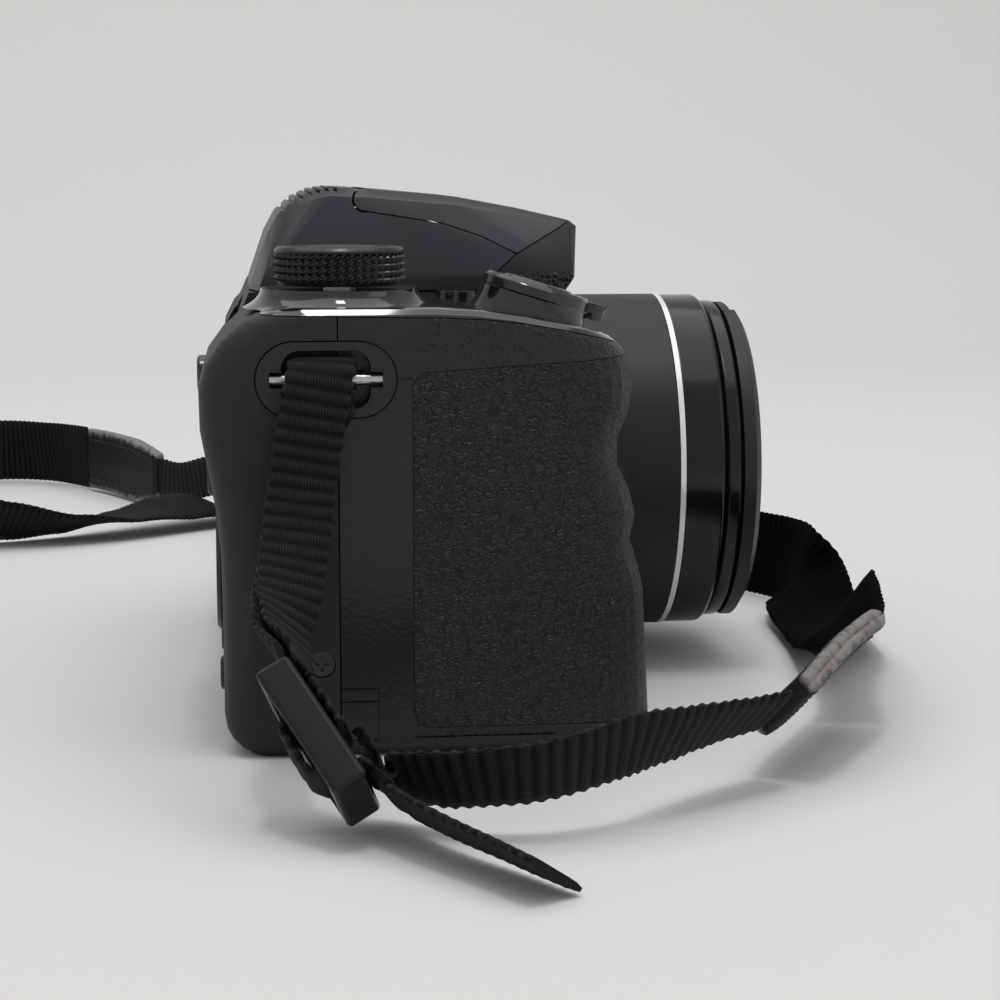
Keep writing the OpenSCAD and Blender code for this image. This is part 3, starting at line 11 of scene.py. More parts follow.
import bpy
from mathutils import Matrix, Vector

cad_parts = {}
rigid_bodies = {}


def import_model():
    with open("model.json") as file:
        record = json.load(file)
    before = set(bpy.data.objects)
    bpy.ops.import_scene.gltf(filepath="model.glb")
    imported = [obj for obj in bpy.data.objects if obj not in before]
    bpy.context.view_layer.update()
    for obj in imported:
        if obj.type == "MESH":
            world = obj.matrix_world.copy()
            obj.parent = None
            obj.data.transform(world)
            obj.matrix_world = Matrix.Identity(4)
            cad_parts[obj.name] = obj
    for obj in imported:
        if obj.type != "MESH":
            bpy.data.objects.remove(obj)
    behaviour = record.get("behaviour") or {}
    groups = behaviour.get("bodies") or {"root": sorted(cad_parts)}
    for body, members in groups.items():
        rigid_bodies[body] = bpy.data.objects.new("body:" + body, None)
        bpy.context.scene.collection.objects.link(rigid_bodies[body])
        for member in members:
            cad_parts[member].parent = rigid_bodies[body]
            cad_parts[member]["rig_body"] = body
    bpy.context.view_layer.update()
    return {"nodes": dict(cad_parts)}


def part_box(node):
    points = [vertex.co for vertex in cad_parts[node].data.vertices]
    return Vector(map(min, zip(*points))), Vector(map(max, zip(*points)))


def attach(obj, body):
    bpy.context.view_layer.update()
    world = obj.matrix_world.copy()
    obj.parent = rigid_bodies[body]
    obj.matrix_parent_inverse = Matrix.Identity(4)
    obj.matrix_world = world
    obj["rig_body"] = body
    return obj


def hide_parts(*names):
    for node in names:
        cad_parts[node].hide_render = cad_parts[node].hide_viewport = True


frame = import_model()
MM = 0.001

# %% [markdown]
# ## The camera
# The photograph was taken from the grip side, a little above the base and at close range. Matching points on the
# side, the barrel and the hump gave one position and one focal length, so the render can be laid over the
# photograph. A plain camera object with a rotation in degrees says this most directly.

# %% Camera
SIGHT_YAW, SIGHT_PITCH = math.radians(6.51), math.radians(8.21)
bpy.ops.object.select_all(action="DESELECT")
bpy.ops.object.camera_add(location=Vector((-407.02, 44.20, 86.50)) * MM,
                          rotation=(math.pi / 2 - SIGHT_PITCH, 0, -math.pi / 2 - SIGHT_YAW))
sight = bpy.context.object
sight.name = "sight"
sight.data.lens = 82.77
sight.data.sensor_width = 36
sight.data.clip_start = 0.01
bpy.context.scene.camera = sight
bpy.context.scene.view_settings.view_transform = "Standard"
print("camera at", [round(v, 3) for v in sight.location])

# %% [markdown]
# ## The table and the light
# The camera stands on a seamless pale sweep under a wide, soft light. A plane whose far edge is extruded upwards and
# bevelled makes the sweep. The light is one large panel overhead with a small bright strip beside it, which picks
# out the grain, and a weak panel from the front. A plain grey world fills the shadows, so dark plastic keeps its own
# colour.

# %% Sweep
bpy.ops.object.select_all(action="DESELECT")
bpy.ops.mesh.primitive_plane_add(size=2, location=(0, 0, 0))
sweep = bpy.context.object
sweep.name = "sweep"
sweep.scale = (1.3, 2.6, 1)
sweep.location = (-0.1, 0, 0)
bpy.ops.object.transform_apply(location=True, rotation=False, scale=True)
bpy.ops.object.mode_set(mode="EDIT")
bpy.ops.mesh.select_all(action="DESELECT")
bpy.ops.object.mode_set(mode="OBJECT")
for edge in sweep.data.edges:
    edge.select = all(sweep.data.vertices[v].co.x > 1 for v in edge.vertices)
bpy.ops.object.mode_set(mode="EDIT")
bpy.ops.mesh.extrude_region_move(TRANSFORM_OT_translate={"value": (0, 0, 2.2)})
bpy.ops.object.mode_set(mode="OBJECT")
for edge in sweep.data.edges:
    ends = [sweep.data.vertices[v].co for v in edge.vertices]
    edge.select = all(p.x > 1 and p.z < 0.01 for p in ends)
bpy.ops.object.mode_set(mode="EDIT")
bpy.ops.mesh.bevel(offset=0.6, segments=24)
bpy.ops.object.mode_set(mode="OBJECT")
bpy.ops.object.shade_smooth()
print("sweep faces:", len(sweep.data.polygons))

# %% [markdown]
# The finishes are made of nodes, so small helpers keep the cells short. One starts a finish, one adds a node with its
# values and one joins two sockets. Each of the others adds one node that takes its input from an earlier socket: a
# pattern, a change of range, a sum, a colour ramp or a relief.

# %% Helpers for finishes
def start_finish(name):
    finish = bpy.data.materials.new(name)
    finish.use_nodes = True
    return finish, finish.node_tree.nodes["Principled BSDF"]


def set_sockets(node, **values):
    for key, value in values.items():
        node.inputs[key.replace("_", " ")].default_value = value


def add_node(finish, kind, settings=None, **values):
    node = finish.node_tree.nodes.new(kind)
    for key, value in (settings or {}).items():
        setattr(node, key, value)
    set_sockets(node, **values)
    return node


def join(finish, source, target):
    finish.node_tree.links.new(source, target)


def object_place(finish):
    return add_node(finish, "ShaderNodeTexCoord").outputs["Object"]


def band_chart(finish):
    return add_node(finish, "ShaderNodeUVMap", {"uv_map": "weave"}).outputs["UV"]


def noise(finish, place, scale, detail, output="Fac"):
    node = add_node(finish, "ShaderNodeTexNoise", Scale=scale, Detail=detail)
    join(finish, place, node.inputs["Vector"])
    return node.outputs[output]


def cells(finish, place, feature, **values):
    node = add_node(finish, "ShaderNodeTexVoronoi", {"feature": feature}, **values)
    join(finish, place, node.inputs["Vector"])
    return node.outputs["Distance"]


def axes(finish, place):
    node = add_node(finish, "ShaderNodeSeparateXYZ")
    join(finish, place, node.inputs["Vector"])
    return node.outputs


def remap(finish, source, settings=None, **values):
    node = add_node(finish, "ShaderNodeMapRange", settings, **values)
    join(finish, source, node.inputs["Value"])
    return node.outputs["Result"]


def maths(finish, operation, *terms):
    """Adds a sum whose terms are sockets or plain numbers."""
    node = add_node(finish, "ShaderNodeMath", {"operation": operation})
    for socket, term in zip(node.inputs, terms):
        if isinstance(term, float):
            socket.default_value = term
        else:
            join(finish, term, socket)
    return node.outputs["Value"]


def ramp(finish, source, low, high, ends=(0.0, 1.0)):
    node = add_node(finish, "ShaderNodeValToRGB")
    for element, end, colour in zip(node.color_ramp.elements, ends, (low, high)):
        element.position, element.color = end, tuple(colour) + (1,)
    join(finish, source, node.inputs["Fac"])
    return node.outputs["Color"]


def emboss(finish, shader, height, depth_mm, strength=1.0, invert=False):
    node = add_node(finish, "ShaderNodeBump", {"invert": invert}, Strength=strength, Distance=depth_mm * MM)
    join(finish, height, node.inputs["Height"])
    join(finish, node.outputs["Normal"], shader.inputs["Normal"])
    return node


def scaled(colour, factor):
    return tuple(c * factor for c in colour)


print("helpers for finishes are ready")

# %% Light and sweep colour
sweep_paint, shader = start_finish("sweep_paint")
set_sockets(shader, Roughness=0.9, Specular_IOR_Level=0.1)
place = object_place(sweep_paint)
cloud = noise(sweep_paint, place, 1.5, 2.0)
# Painted shade: the sweep is coloured darker towards the front, where the camera stands, than at the back wall, to
# tone down the light under the overhead panel. The noise adds a soft random mottle.
painted_falloff = remap(sweep_paint, axes(sweep_paint, place)["X"], From_Min=0.05, From_Max=0.8, To_Max=0.85)
mottle_and_painted_falloff = maths(sweep_paint, "MULTIPLY_ADD", cloud, 0.15, painted_falloff)
tint = ramp(sweep_paint, mottle_and_painted_falloff, (0.695, 0.686, 0.679), (0.800, 0.790, 0.782))
join(sweep_paint, tint, shader.inputs["Base Color"])
sweep.data.materials.append(sweep_paint)

room = bpy.data.worlds.new("room")
bpy.context.scene.world = room
room.use_nodes = True
room.node_tree.nodes["Background"].inputs["Color"].default_value = (1, 0.99, 0.98, 1)
room.node_tree.nodes["Background"].inputs["Strength"].default_value = 0.55


def panel(name, place, aim, size, watts):
    bpy.ops.object.select_all(action="DESELECT")
    bpy.ops.object.light_add(type="AREA", location=place)
    lamp = bpy.context.object
    lamp.name = name
    lamp.data.shape = "RECTANGLE"
    lamp.data.size, lamp.data.size_y = size
    lamp.data.energy = watts
    lamp.rotation_euler = (Vector(aim) - Vector(place)).to_track_quat("-Z", "Y").to_euler()
    return lamp


panel("overhead_panel", (0.05, 0.02, 0.95), (0, 0, 0), (1.1, 1.3), 4.7)
panel("front_panel", (-0.55, -0.75, 0.55), (0, 0, 0.03), (0.5, 0.5), 0.5)
panel("lamp_strip", (-0.20, 0.02, 0.95), (0, 0, 0), (0.10, 0.26), 1.5)

# %% [markdown]
# ## The strap
# The strap comes first, because its loose lengths decide how far the model spreads. Webbing is a flat woven band with
# cross ribs and a zigzag edge where the weft turns. Sweeping one cross-section along a smooth line gives full
# control of its twist, so the bands are made in mesh code: a row of points with a direction across the band at each,
# joined by a smooth curve and sampled several times for each rib. The rows are the strap's rows in the CAD source.

# %% Rows of the strap, in millimetres
def unit(v):
    return Vector(v).normalized()


buckle_at = Vector((-112.72, 34.54, 12.2))
buckle_across = unit((0.79, -0.19, -0.58))
buckle_along = buckle_across.cross(Vector((-0.59, -0.48, -0.65))).cross(buckle_across).normalized()
buckle_through = buckle_along.cross(buckle_across)
WEB_W, WEB_T, NECK_W = 10, 1.4, 17


def on_buckle(a, l, t):
    return tuple(buckle_at + buckle_across * a + buckle_along * l + buckle_through * t)


flip = tuple(-buckle_across)
tail_row = [
    ((-72, 32.1, 55.8), (0, 1, 0)), ((-72.2, 32.1, 55), (0, 1, 0)), ((-74.2, 32.1, 54.5), (0, 1, 0)),
    ((-76, 32.2, 54), (0, 1, 0)), ((-77, 32.7, 52), (0, 1, 0)), ((-77.8, 34, 49.6), (0, 1, 0.05)),
    ((-79.7, 35.4, 41.4), (0, 1, 0.05)), ((-83.1, 36.6, 34.1), (-0.05, 1, 0.1)),
    ((-88.2, 37.9, 27.7), (-0.15, 0.95, 0.25)), ((-96, 39.6, 22.8), (-0.42, 0.66, 0.6)),
    ((-105.9, 38.3, 20.2), (-0.79, 0.19, 0.58)), (on_buckle(0, -8.6, 1.4), flip), (on_buckle(0, -6.4, 0.1), flip),
    (on_buckle(0, -4.2, -2), flip), (on_buckle(0, -2.4, -3.25), flip), (on_buckle(0, -0.6, -3.5), flip),
    (on_buckle(0, 3.6, -3.5), flip), (on_buckle(0, 5.2, -2.6), flip), (on_buckle(0, 6.1, -0.6), flip),
    (on_buckle(0, 6.6, 1.4), flip), (on_buckle(0, 7.3, 3), flip), (on_buckle(0, 9.2, 3.8), flip),
    ((-118.4, 24.8, 6), (-0.76, 0.3, 0.56)), ((-127, 19.9, 5), (-0.72, 0.4, 0.57)),
    ((-136.5, 13.3, 4), (-0.725, 0.43, 0.54)), ((-145.8, 7.7, 3.5), (-0.735, 0.46, 0.5))]
ply_row = [
    ((-72, 32.1, 56.7), (0, 1, 0)), ((-72.2, 32.1, 57.8), (0, 1, 0)), ((-74, 32.1, 58.6), (0, 1, 0)),
    ((-75.9, 32.2, 58.7), (0, 1, 0)), ((-78, 32.7, 56.6), (0, 1, 0)), ((-79.6, 34, 50), (0, 1, 0.05)),
    ((-81.4, 35.4, 42), (0, 1, 0.05)), ((-84.6, 36.4, 35), (-0.05, 1, 0.1)), ((-89.4, 37.4, 29), (-0.15, 0.95, 0.25)),
    ((-96.5, 38.2, 24), (-0.42, 0.66, 0.6)), (on_buckle(0, -10.8, 3.6), flip), (on_buckle(0, -7.2, 3.45), flip),
    (on_buckle(0, -2.9, 3.45), flip), (on_buckle(0, 1.2, 3.45), flip)]
lead_row = [
    (on_buckle(0, 1.2, 5.15), tuple(buckle_across)), ((-113.3, 27.8, 11.2), (0.75, -0.2, -0.62)),
    ((-112.5, 26, 7.6), (0.66, -0.16, -0.72)), ((-114.4, 22.4, 7.4), (0.58, -0.1, -0.8)),
    ((-117.5, 17.7, 7.8), (0.5, -0.05, -0.86)), ((-119, 12.6, 8.4), (0.45, 0, -0.88)),
    ((-119.4, 6.8, 8.9), (0.42, 0, -0.9)), ((-118, 0.7, 9.8), (0.38, 0.03, -0.92)),
    ((-114.5, -6.5, 10.9), (0.3, 0.12, -0.94)), ((-108.5, -14.4, 10.8), (0.36, 0.36, -0.86)),
    ((-104.5, -19.6, 10.8), (0.42, 0.46, -0.78)), ((-100.7, -24.6, 10.8), (0.47, 0.52, -0.71)),
    ((-97.2, -30.1, 11), (0.5, 0.54, -0.68))]
tab_right_row = [
    ((-96, -31.4, 11), (0.49, 0.55, -0.68)), ((-90, -35.2, 11.8), (0.46, 0.5, -0.73)),
    ((-82, -39.7, 12.4), (0.45, 0.48, -0.75)), ((-74, -44.4, 13), (0.46, 0.5, -0.73)),
    ((-66, -48.7, 13.2), (0.48, 0.53, -0.7))]
neck_row = [
    ((-64.6, -49.2, 13.4), (0.48, 0.52, -0.71)), ((-57, -51.4, 14.2), (0.52, 0.4, -0.76)),
    ((-48, -53.4, 14.4), (0.51, 0.34, -0.79)), ((-39, -55.4, 13.2), (0.44, 0.42, -0.79)),
    ((-30, -57.4, 10.4), (0.33, 0.65, -0.68)), ((-21, -59.6, 6.8), (0.2, 0.88, -0.43)),
    ((-12, -61.4, 4), (0.1, 0.98, -0.16)), ((0, -62.6, 2.9), (0, 1, -0.05)),
    ((12, -63.4, 3.8), (-0.12, 0.97, -0.15)), ((21, -64.2, 6.4), (-0.2, 0.82, -0.53)),
    ((29, -64.8, 8.9), (-0.1, 0.25, -0.96)), ((36, -64.2, 9.2), (0, 0.08, -0.99)),
    ((43, -61.4, 9.2), (0, 0, -1)), ((51, -57.4, 9.2), (0, 0, -1)), ((66, -52, 9.2), (0, 0, -1)),
    ((90, -43, 9.2), (0, 0, -1)), ((112, -30, 9.2), (0, 0, -1)), ((132, -12, 9), (0.2, 0, -1)),
    ((148, 8, 7.4), (0.8, -0.4, -1)), ((158, 26, 2.6), (1, -0.3, -0.12)), ((161, 38, 1.8), (1, 0.1, 0)),
    ((158.5, 46, 2), (0.95, 0.3, 0.06)), ((154.5, 53, 4.8), (0.87, 0.47, 0.2)), ((149, 60, 5.2), (0.82, 0.53, 0.2)),
    ((140, 71, 4.6), (0.84, 0.54, 0)), ((131.4, 84, 4.2), (0.85, 0.42, -0.37)), ((126.4, 98, 6), (0.75, 0.22, -0.6)),
    ((124.6, 112, 8.2), (0.5, 0, -0.87)), ((129, 127, 9), (0, 0, -1)), ((143, 139, 9), (0, 0, -1)),
    ((166, 146, 9), (0, 0, -1)), ((188, 145, 9), (0, 0, -1)), ((210, 138, 9), (0, 0, -1)),
    ((229, 126, 9), (0, 0, -1)), ((239, 110, 9), (0.15, 0, -1)), ((234, 96, 8.9), (0.25, 0, -1)),
    ((221, 84.5, 8.8), (0.15, 0, -1))]
tab_left_row = [
    ((220.2, 84, 8.8), (0, 0, -1)), ((211, 78.5, 8.8), (0, 0, -1)), ((198, 72, 8.6), (0, 0, -1)),
    ((183.5, 64.5, 8.4), (0, 0, -1))]
lead_left_row = [
    ((182.7, 64.1, 8.2), (0, 0, -1)), ((174, 58.6, 8), (0, 0, -1)), ((161, 50, 11.4), (0, 0, -1)),
    ((150, 45.5, 10.4), (0, 0, -1)), ((140, 42, 8.6), (0, 0, -1)), ((116, 37.5, 6.8), (0, 0.2, -1)),
    ((96, 35.2, 8), (0, 0.5, -0.8)), ((84, 34.2, 11), (0, 1, -0.3)), ((78, 33.6, 15.2), (0, 1, 0)),
    ((73, 33.1, 22.8), (0, 1, 0)), ((67.4, 32.6, 30.5), (0, 1, 0)), ((60, 32.3, 39.4), (0, 1, 0)),
    ((54, 32.1, 49), (0, 1, 0)), ((51.4, 32, 55), (0, 1, 0)), ((49.4, 32, 57.6), (0, 1, 0))]
print("strap rows:", sum(len(r) for r in (tail_row, ply_row, lead_row, neck_row, lead_left_row)))

# %% Smooth line through a row, sampled by length
def between(a, b, c, d, t):
    return 0.5 * (2 * b + (c - a) * t + (2 * a - 5 * b + 4 * c - d) * t * t + (3 * b - a - 3 * c + d) * t ** 3)


def sampled(row, step):
    dense = []
    n = len(row)
    for k in range(n - 1):
        four = [row[max(0, min(n - 1, k + j))] for j in (-1, 0, 1, 2)]
        points = [Vector(r[0]) for r in four]
        sides = [unit(r[1]) for r in four]
        count = max(4, int((points[2] - points[1]).length / 0.3))
        for i in range(count):
            t = i / count
            dense.append((between(*points, t), sides[1].lerp(sides[2], t * t * (3 - 2 * t))))
    dense.append((Vector(row[-1][0]), unit(row[-1][1])))
    lengths = [0.0]
    for a, b in zip(dense, dense[1:]):
        lengths.append(lengths[-1] + (b[0] - a[0]).length)
    total = lengths[-1]
    stops, out, k = max(2, round(total / step)), [], 0
    for i in range(stops + 1):
        s = total * i / stops
        while k < len(lengths) - 2 and lengths[k + 1] < s:
            k += 1
        t = (s - lengths[k]) / max(1e-9, lengths[k + 1] - lengths[k])
        out.append((s, dense[k][0].lerp(dense[k + 1][0], t), dense[k][1].lerp(dense[k + 1][1], t)))
    return out, total


def framed(stations):
    """Adds the along, across and through directions to each station."""
    out = []
    for k, (s, point, side) in enumerate(stations):
        ahead = stations[min(k + 1, len(stations) - 1)][1] - stations[max(k - 1, 0)][1]
        along = ahead.normalized()
        across = (side - along * side.dot(along)).normalized()
        out.append((s, point, across, along.cross(across)))
    return out


def skin_of_rings(name, rings, uvs):
    """Mesh of a row of closed rings, with one UV pair for each point of each ring."""
    n = len(rings[0])
    mesh = bpy.data.meshes.new(name)
    points = [tuple(p * MM) for ring in rings for p in ring]
    faces = [(i * n + k, i * n + (k + 1) % n, (i + 1) * n + (k + 1) % n, (i + 1) * n + k)
             for i in range(len(rings) - 1) for k in range(n)]
    faces += [tuple(range(n - 1, -1, -1)), tuple((len(rings) - 1) * n + k for k in range(n))]
    mesh.from_pydata(points, [], faces)
    layer = mesh.uv_layers.new(name="weave")
    flat = [uv for ring in uvs for uv in ring]
    for loop in mesh.loops:
        layer.data[loop.index].uv = flat[loop.vertex_index]
    piece = bpy.data.objects.new(name, mesh)
    bpy.context.scene.collection.objects.link(piece)
    for face in mesh.polygons:
        face.use_smooth = len(face.vertices) == 4
    mesh.update()
    return piece


# %% Woven band
RIB_STEPS, BAND_COLUMNS = 8, 9


def webbing(name, row, width, thick, pitch=2.1, rib=0.22, zigzag=0.17):
    stations, total = sampled(row, pitch / RIB_STEPS)
    rings, uvs, line = [], [], []
    for s, point, across, through in framed(stations):
        swell = math.cos(2 * math.pi * s / pitch)
        half = width / 2 - zigzag + zigzag * swell
        ring, uv = [], []
        for face, order in ((1, range(BAND_COLUMNS)), (-1, range(BAND_COLUMNS - 1, -1, -1))):
            for k in order:
                u = 2 * k / (BAND_COLUMNS - 1) - 1
                edge = 1 - abs(u) ** 6
                height = thick / 2 * (0.45 + 0.55 * edge) - rib * 0.5 * (1 - swell) * (0.4 + 0.6 * edge)
                ring.append(point + across * u * half + through * face * height)
                uv.append((u * width / 2, s))
        rings.append(ring)
        uvs.append(uv)
        line.append(tuple(point * MM))
    piece = skin_of_rings(name, rings, uvs)
    print(name, "length", round(total, 1), "mm, faces", len(piece.data.polygons))
    return piece, line[::RIB_STEPS] + [line[-1]], total * MM


tail, tail_line, tail_long = webbing("strap_tail_woven", tail_row, WEB_W, WEB_T)
ply, ply_line, ply_long = webbing("strap_ply_woven", ply_row, WEB_W, WEB_T)
lead, lead_line, lead_long = webbing("strap_lead_woven", lead_row, WEB_W, WEB_T)
neck, neck_line, neck_long = webbing("neck_strap_woven", neck_row, NECK_W, WEB_T, 1.5, 0.14, 0.1)
lead_left, lead_left_line, lead_left_long = webbing("strap_lead_left_woven", lead_left_row, WEB_W, WEB_T)

# %% [markdown]
# The tabs join the narrow webbing to the wide neck strap. Each is two layers of leather folded over the webbing and
# sewn along both edges. The cut edges have worn grey. The same sweep makes them, with a groove between the layers, a
# waist where the tab narrows to the webbing, and a height that drops a little between the stitches.

# %% Leather tabs with stitches
LAYER_GROOVE, SEAM_AT, THREAD_SIDES = 0.955, 0.66, 6
THREAD_SHAPE = ((-0.8, 0.08), (-0.55, 0.24), (0, 0.3), (0.55, 0.24), (0.8, 0.08))


def leather_tab(name, row, width, thick, narrow_at_start):
    stations, total = sampled(row, 0.5)
    shape = [(-1, 0.16), (-0.985, 0.62), (-0.93, 0.92), (-0.8, 1), (-0.62, 0.9), (-0.3, 0.96), (0, 1), (0.3, 0.96),
             (0.62, 0.9), (0.8, 1), (0.93, 0.92), (0.985, 0.62), (1, 0.16)]
    outline = shape + [(LAYER_GROOVE, 0.0)] + [(u, -h) for u, h in reversed(shape)] + [(-LAYER_GROOVE, 0.0)]
    rings, uvs, line = [], [], []
    for s, point, across, through in framed(stations):
        share = s / total if narrow_at_start else 1 - s / total
        waist = 0.68 + 0.32 * min(1, max(0, share / 0.34)) ** 0.7
        taper = min(1, 0.55 + 0.45 * min(s, total - s) / 1.2)
        ring = [point + across * u * width / 2 * waist + through * h * thick / 2 * taper for u, h in outline]
        rings.append(ring)
        uvs.append([(u, s) for u, h in outline])
        line.append((s, point, across, through, waist))
    piece = skin_of_rings(name, rings, uvs)
    print(name, "length", round(total, 1), "mm")
    return piece, line, total


def stitches(name, line, total, width, thick, pitch=2.3):
    """Short threads that lie along both edges of a tab, on both faces."""
    mesh = bpy.data.meshes.new(name)
    points, faces = [], []
    count = int((total - 4) / pitch)
    for i in range(count):
        s = 2 + (i + 0.5) * pitch
        _, point, across, through, waist = min(line, key=lambda r: abs(r[0] - s))
        near = min(line, key=lambda r: abs(r[0] - s - 0.7))
        along = (near[1] - point).normalized()
        for edge in (-SEAM_AT, SEAM_AT):
            for face in (-1, 1):
                middle = point + across * edge * width / 2 * waist + through * face * (thick / 2 * 0.9 + 0.05)
                base = len(points)
                for a, r in THREAD_SHAPE:
                    for turn in range(THREAD_SIDES):
                        angle = turn * math.pi / (THREAD_SIDES / 2)
                        points.append(tuple((middle + along * a + across * r * math.cos(angle)
                                             + through * face * r * math.sin(angle)) * MM))
                for ring in range(len(THREAD_SHAPE) - 1):
                    first = base + ring * THREAD_SIDES
                    for turn in range(THREAD_SIDES):
                        a, b = first + turn, first + (turn + 1) % THREAD_SIDES
                        faces.append((a, b, b + THREAD_SIDES, a + THREAD_SIDES))
                last = base + (len(THREAD_SHAPE) - 1) * THREAD_SIDES
                faces.append(tuple(base + THREAD_SIDES - 1 - k for k in range(THREAD_SIDES)))
                faces.append(tuple(last + k for k in range(THREAD_SIDES)))
    mesh.from_pydata(points, [], faces)
    piece = bpy.data.objects.new(name, mesh)
    bpy.context.scene.collection.objects.link(piece)
    bpy.ops.object.select_all(action="DESELECT")
    piece.select_set(True)
    bpy.context.view_layer.objects.active = piece
    bpy.ops.object.mode_set(mode="EDIT")
    bpy.ops.mesh.select_all(action="SELECT")
    bpy.ops.mesh.normals_make_consistent(inside=False)
    bpy.ops.object.mode_set(mode="OBJECT")
    for face in mesh.polygons:
        face.use_smooth = True
    return piece


TAB_W, TAB_T = NECK_W - 1, 3.4
tab_right, tab_right_line, tab_right_long = leather_tab("tab_right_leather", tab_right_row, TAB_W, TAB_T, True)
tab_left, tab_left_line, tab_left_long = leather_tab("tab_left_leather", tab_left_row, TAB_W, TAB_T, False)
sewn_right = stitches("tab_right_stitches", tab_right_line, tab_right_long, TAB_W, TAB_T)
sewn_left = stitches("tab_left_stitches", tab_left_line, tab_left_long, TAB_W, TAB_T)

# %% [markdown]
# Each made piece rides on a body of the CAD model, so that it moves with it, and the plain solid it replaces is
# hidden.
# The stitches replace nothing.

# %% Strap set on the camera
for piece, nodes in ((tail, ["strap_tail"]), (ply, ["strap_ply_right"]), (lead, ["strap_lead_right"]),
                     (neck, ["neck_strap"]), (lead_left, ["strap_lead_left", "strap_ply_left"]),
                     (tab_right, ["strap_tab_right"]), (tab_left, ["strap_tab_left"])):
    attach(piece, "camera")
    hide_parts(*nodes)
for piece in (sewn_right, sewn_left):
    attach(piece, "camera")
print("strap pieces ride on the camera")

# %% [markdown]
# ## Finishes
# Nearly everything on this camera is black, so the finishes differ by sheen and grain. Moulded plastic has a fine
# spark-eroded grain, the front cover a coarser leather grain, the grip skin large soft pebbles, the deck a piano
# gloss, and the hump a satin coat. Noise and cell patterns on object coordinates give each grain its true size, and a
# Bump node turns them into relief.

# %% Moulded plastic
GRAIN_FADE = 1.2 * MM


def moulded(name, colour, spread, rough, grain_mm, depth_mm, leathery=False, specular=0.4, grain_ends_y=None,
            gleam=(1, 0.93, 1.0)):
    finish, shader = start_finish(name)
    place = object_place(finish)
    broad = noise(finish, place, 60.0, 4.0)
    tint = ramp(finish, broad, scaled(colour, 1 - spread), scaled(colour, 1 + spread), (0.3, 0.7))
    join(finish, tint, shader.inputs["Base Color"])
    matt = remap(finish, broad, To_Min=rough - 0.06, To_Max=rough + 0.06)
    join(finish, matt, shader.inputs["Roughness"])
    if leathery:
        height = cells(finish, place, "SMOOTH_F1", Scale=1000.0 / grain_mm, Smoothness=0.6)
    else:
        height = noise(finish, place, 1000.0 / grain_mm, 2.0)
    relief = emboss(finish, shader, height, depth_mm, invert=leathery)
    if grain_ends_y is not None:
        fade = remap(finish, axes(finish, place)["Y"], From_Min=grain_ends_y - GRAIN_FADE, From_Max=grain_ends_y,
                     To_Min=1.0, To_Max=0.12)
        join(finish, fade, relief.inputs["Strength"])
    set_sockets(shader, Specular_IOR_Level=specular, Specular_Tint=gleam + (1,))
    return finish


skin_edge_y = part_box("grip_skin")[1][1]
matte_shell = moulded("matte_shell", (0.0105, 0.0092, 0.0128), 0.12, 0.54, 0.35, 0.012)
leather_grain_shell = moulded("leather_grain_shell", (0.0105, 0.0095, 0.0125), 0.15, 0.28, 0.7, 0.34, leathery=True,
                              grain_ends_y=skin_edge_y)
satin_hump = moulded("satin_hump", (0.019, 0.0215, 0.026), 0.08, 0.40, 0.3, 0.010, gleam=(0.94, 0.98, 1))
matte_barrel = moulded("matte_barrel", (0.0068, 0.0066, 0.0092), 0.1, 0.45, 0.28, 0.012)
matte_key = moulded("matte_key", (0.0135, 0.0122, 0.0155), 0.1, 0.46, 0.3, 0.01)
dial_black = moulded("dial_black", (0.0075, 0.0068, 0.0085), 0.12, 0.30, 0.3, 0.01, specular=0.5)
inner_black = moulded("inner_black", (0.012, 0.012, 0.013), 0.1, 0.6, 0.5, 0.02)
print("moulded finishes made")

# %% [markdown]
# The grip skin is a rubber with a cracked leather pattern. The distance to the edge of a cell pattern, bent by noise
# so that no two lumps are alike, gives flat lumps of about one and a half millimetres with thin cracks between them.
# The cracks are also coloured near black, which is painted shade. A noise lets some cracks heal, and a second, finer
# pattern wrinkles the lumps. Gloss, metal and glass are simpler: a noise varies their roughness a little, as handling
# does.

# %% Grip skin, gloss, metal and glass
LUMP_BEND = 2.7 * MM


def pebbled_rubber(name):
    finish, shader = start_finish(name)
    place = object_place(finish)
    shift = add_node(finish, "ShaderNodeVectorMath", {"operation": "MULTIPLY_ADD"})
    shift.inputs[1].default_value = (LUMP_BEND, LUMP_BEND, LUMP_BEND)
    join(finish, noise(finish, place, 620.0, 3.0, "Color"), shift.inputs[0])
    join(finish, place, shift.inputs[2])

    def lumps(scale, crack):
        distance = cells(finish, shift.outputs["Vector"], "DISTANCE_TO_EDGE", Scale=scale)
        return remap(finish, distance, {"interpolation_type": "SMOOTHSTEP"}, From_Max=crack)

    closed = noise(finish, place, 520.0, 2.0)
    healed = remap(finish, closed, From_Min=0.42, From_Max=0.66, To_Max=0.9)
    coarse = maths(finish, "MAXIMUM", lumps(760.0, 0.2), healed)
    rise = maths(finish, "MULTIPLY_ADD", lumps(1700.0, 0.3), 0.4, coarse)
    wrinkle = noise(finish, place, 2400.0, 3.0)
    emboss(finish, shader, maths(finish, "MULTIPLY_ADD", wrinkle, 0.3, rise), 0.26)
    # Painted shade: the cracks are coloured near black and the lumps dark grey.
    tint = ramp(finish, coarse, (0.0008, 0.0007, 0.001), (0.0092, 0.0082, 0.0112), (0.0, 0.9))
    join(finish, tint, shader.inputs["Base Color"])
    set_sockets(shader, Roughness=0.38, Specular_IOR_Level=0.4, Specular_Tint=(1, 0.94, 1, 1))
    return finish


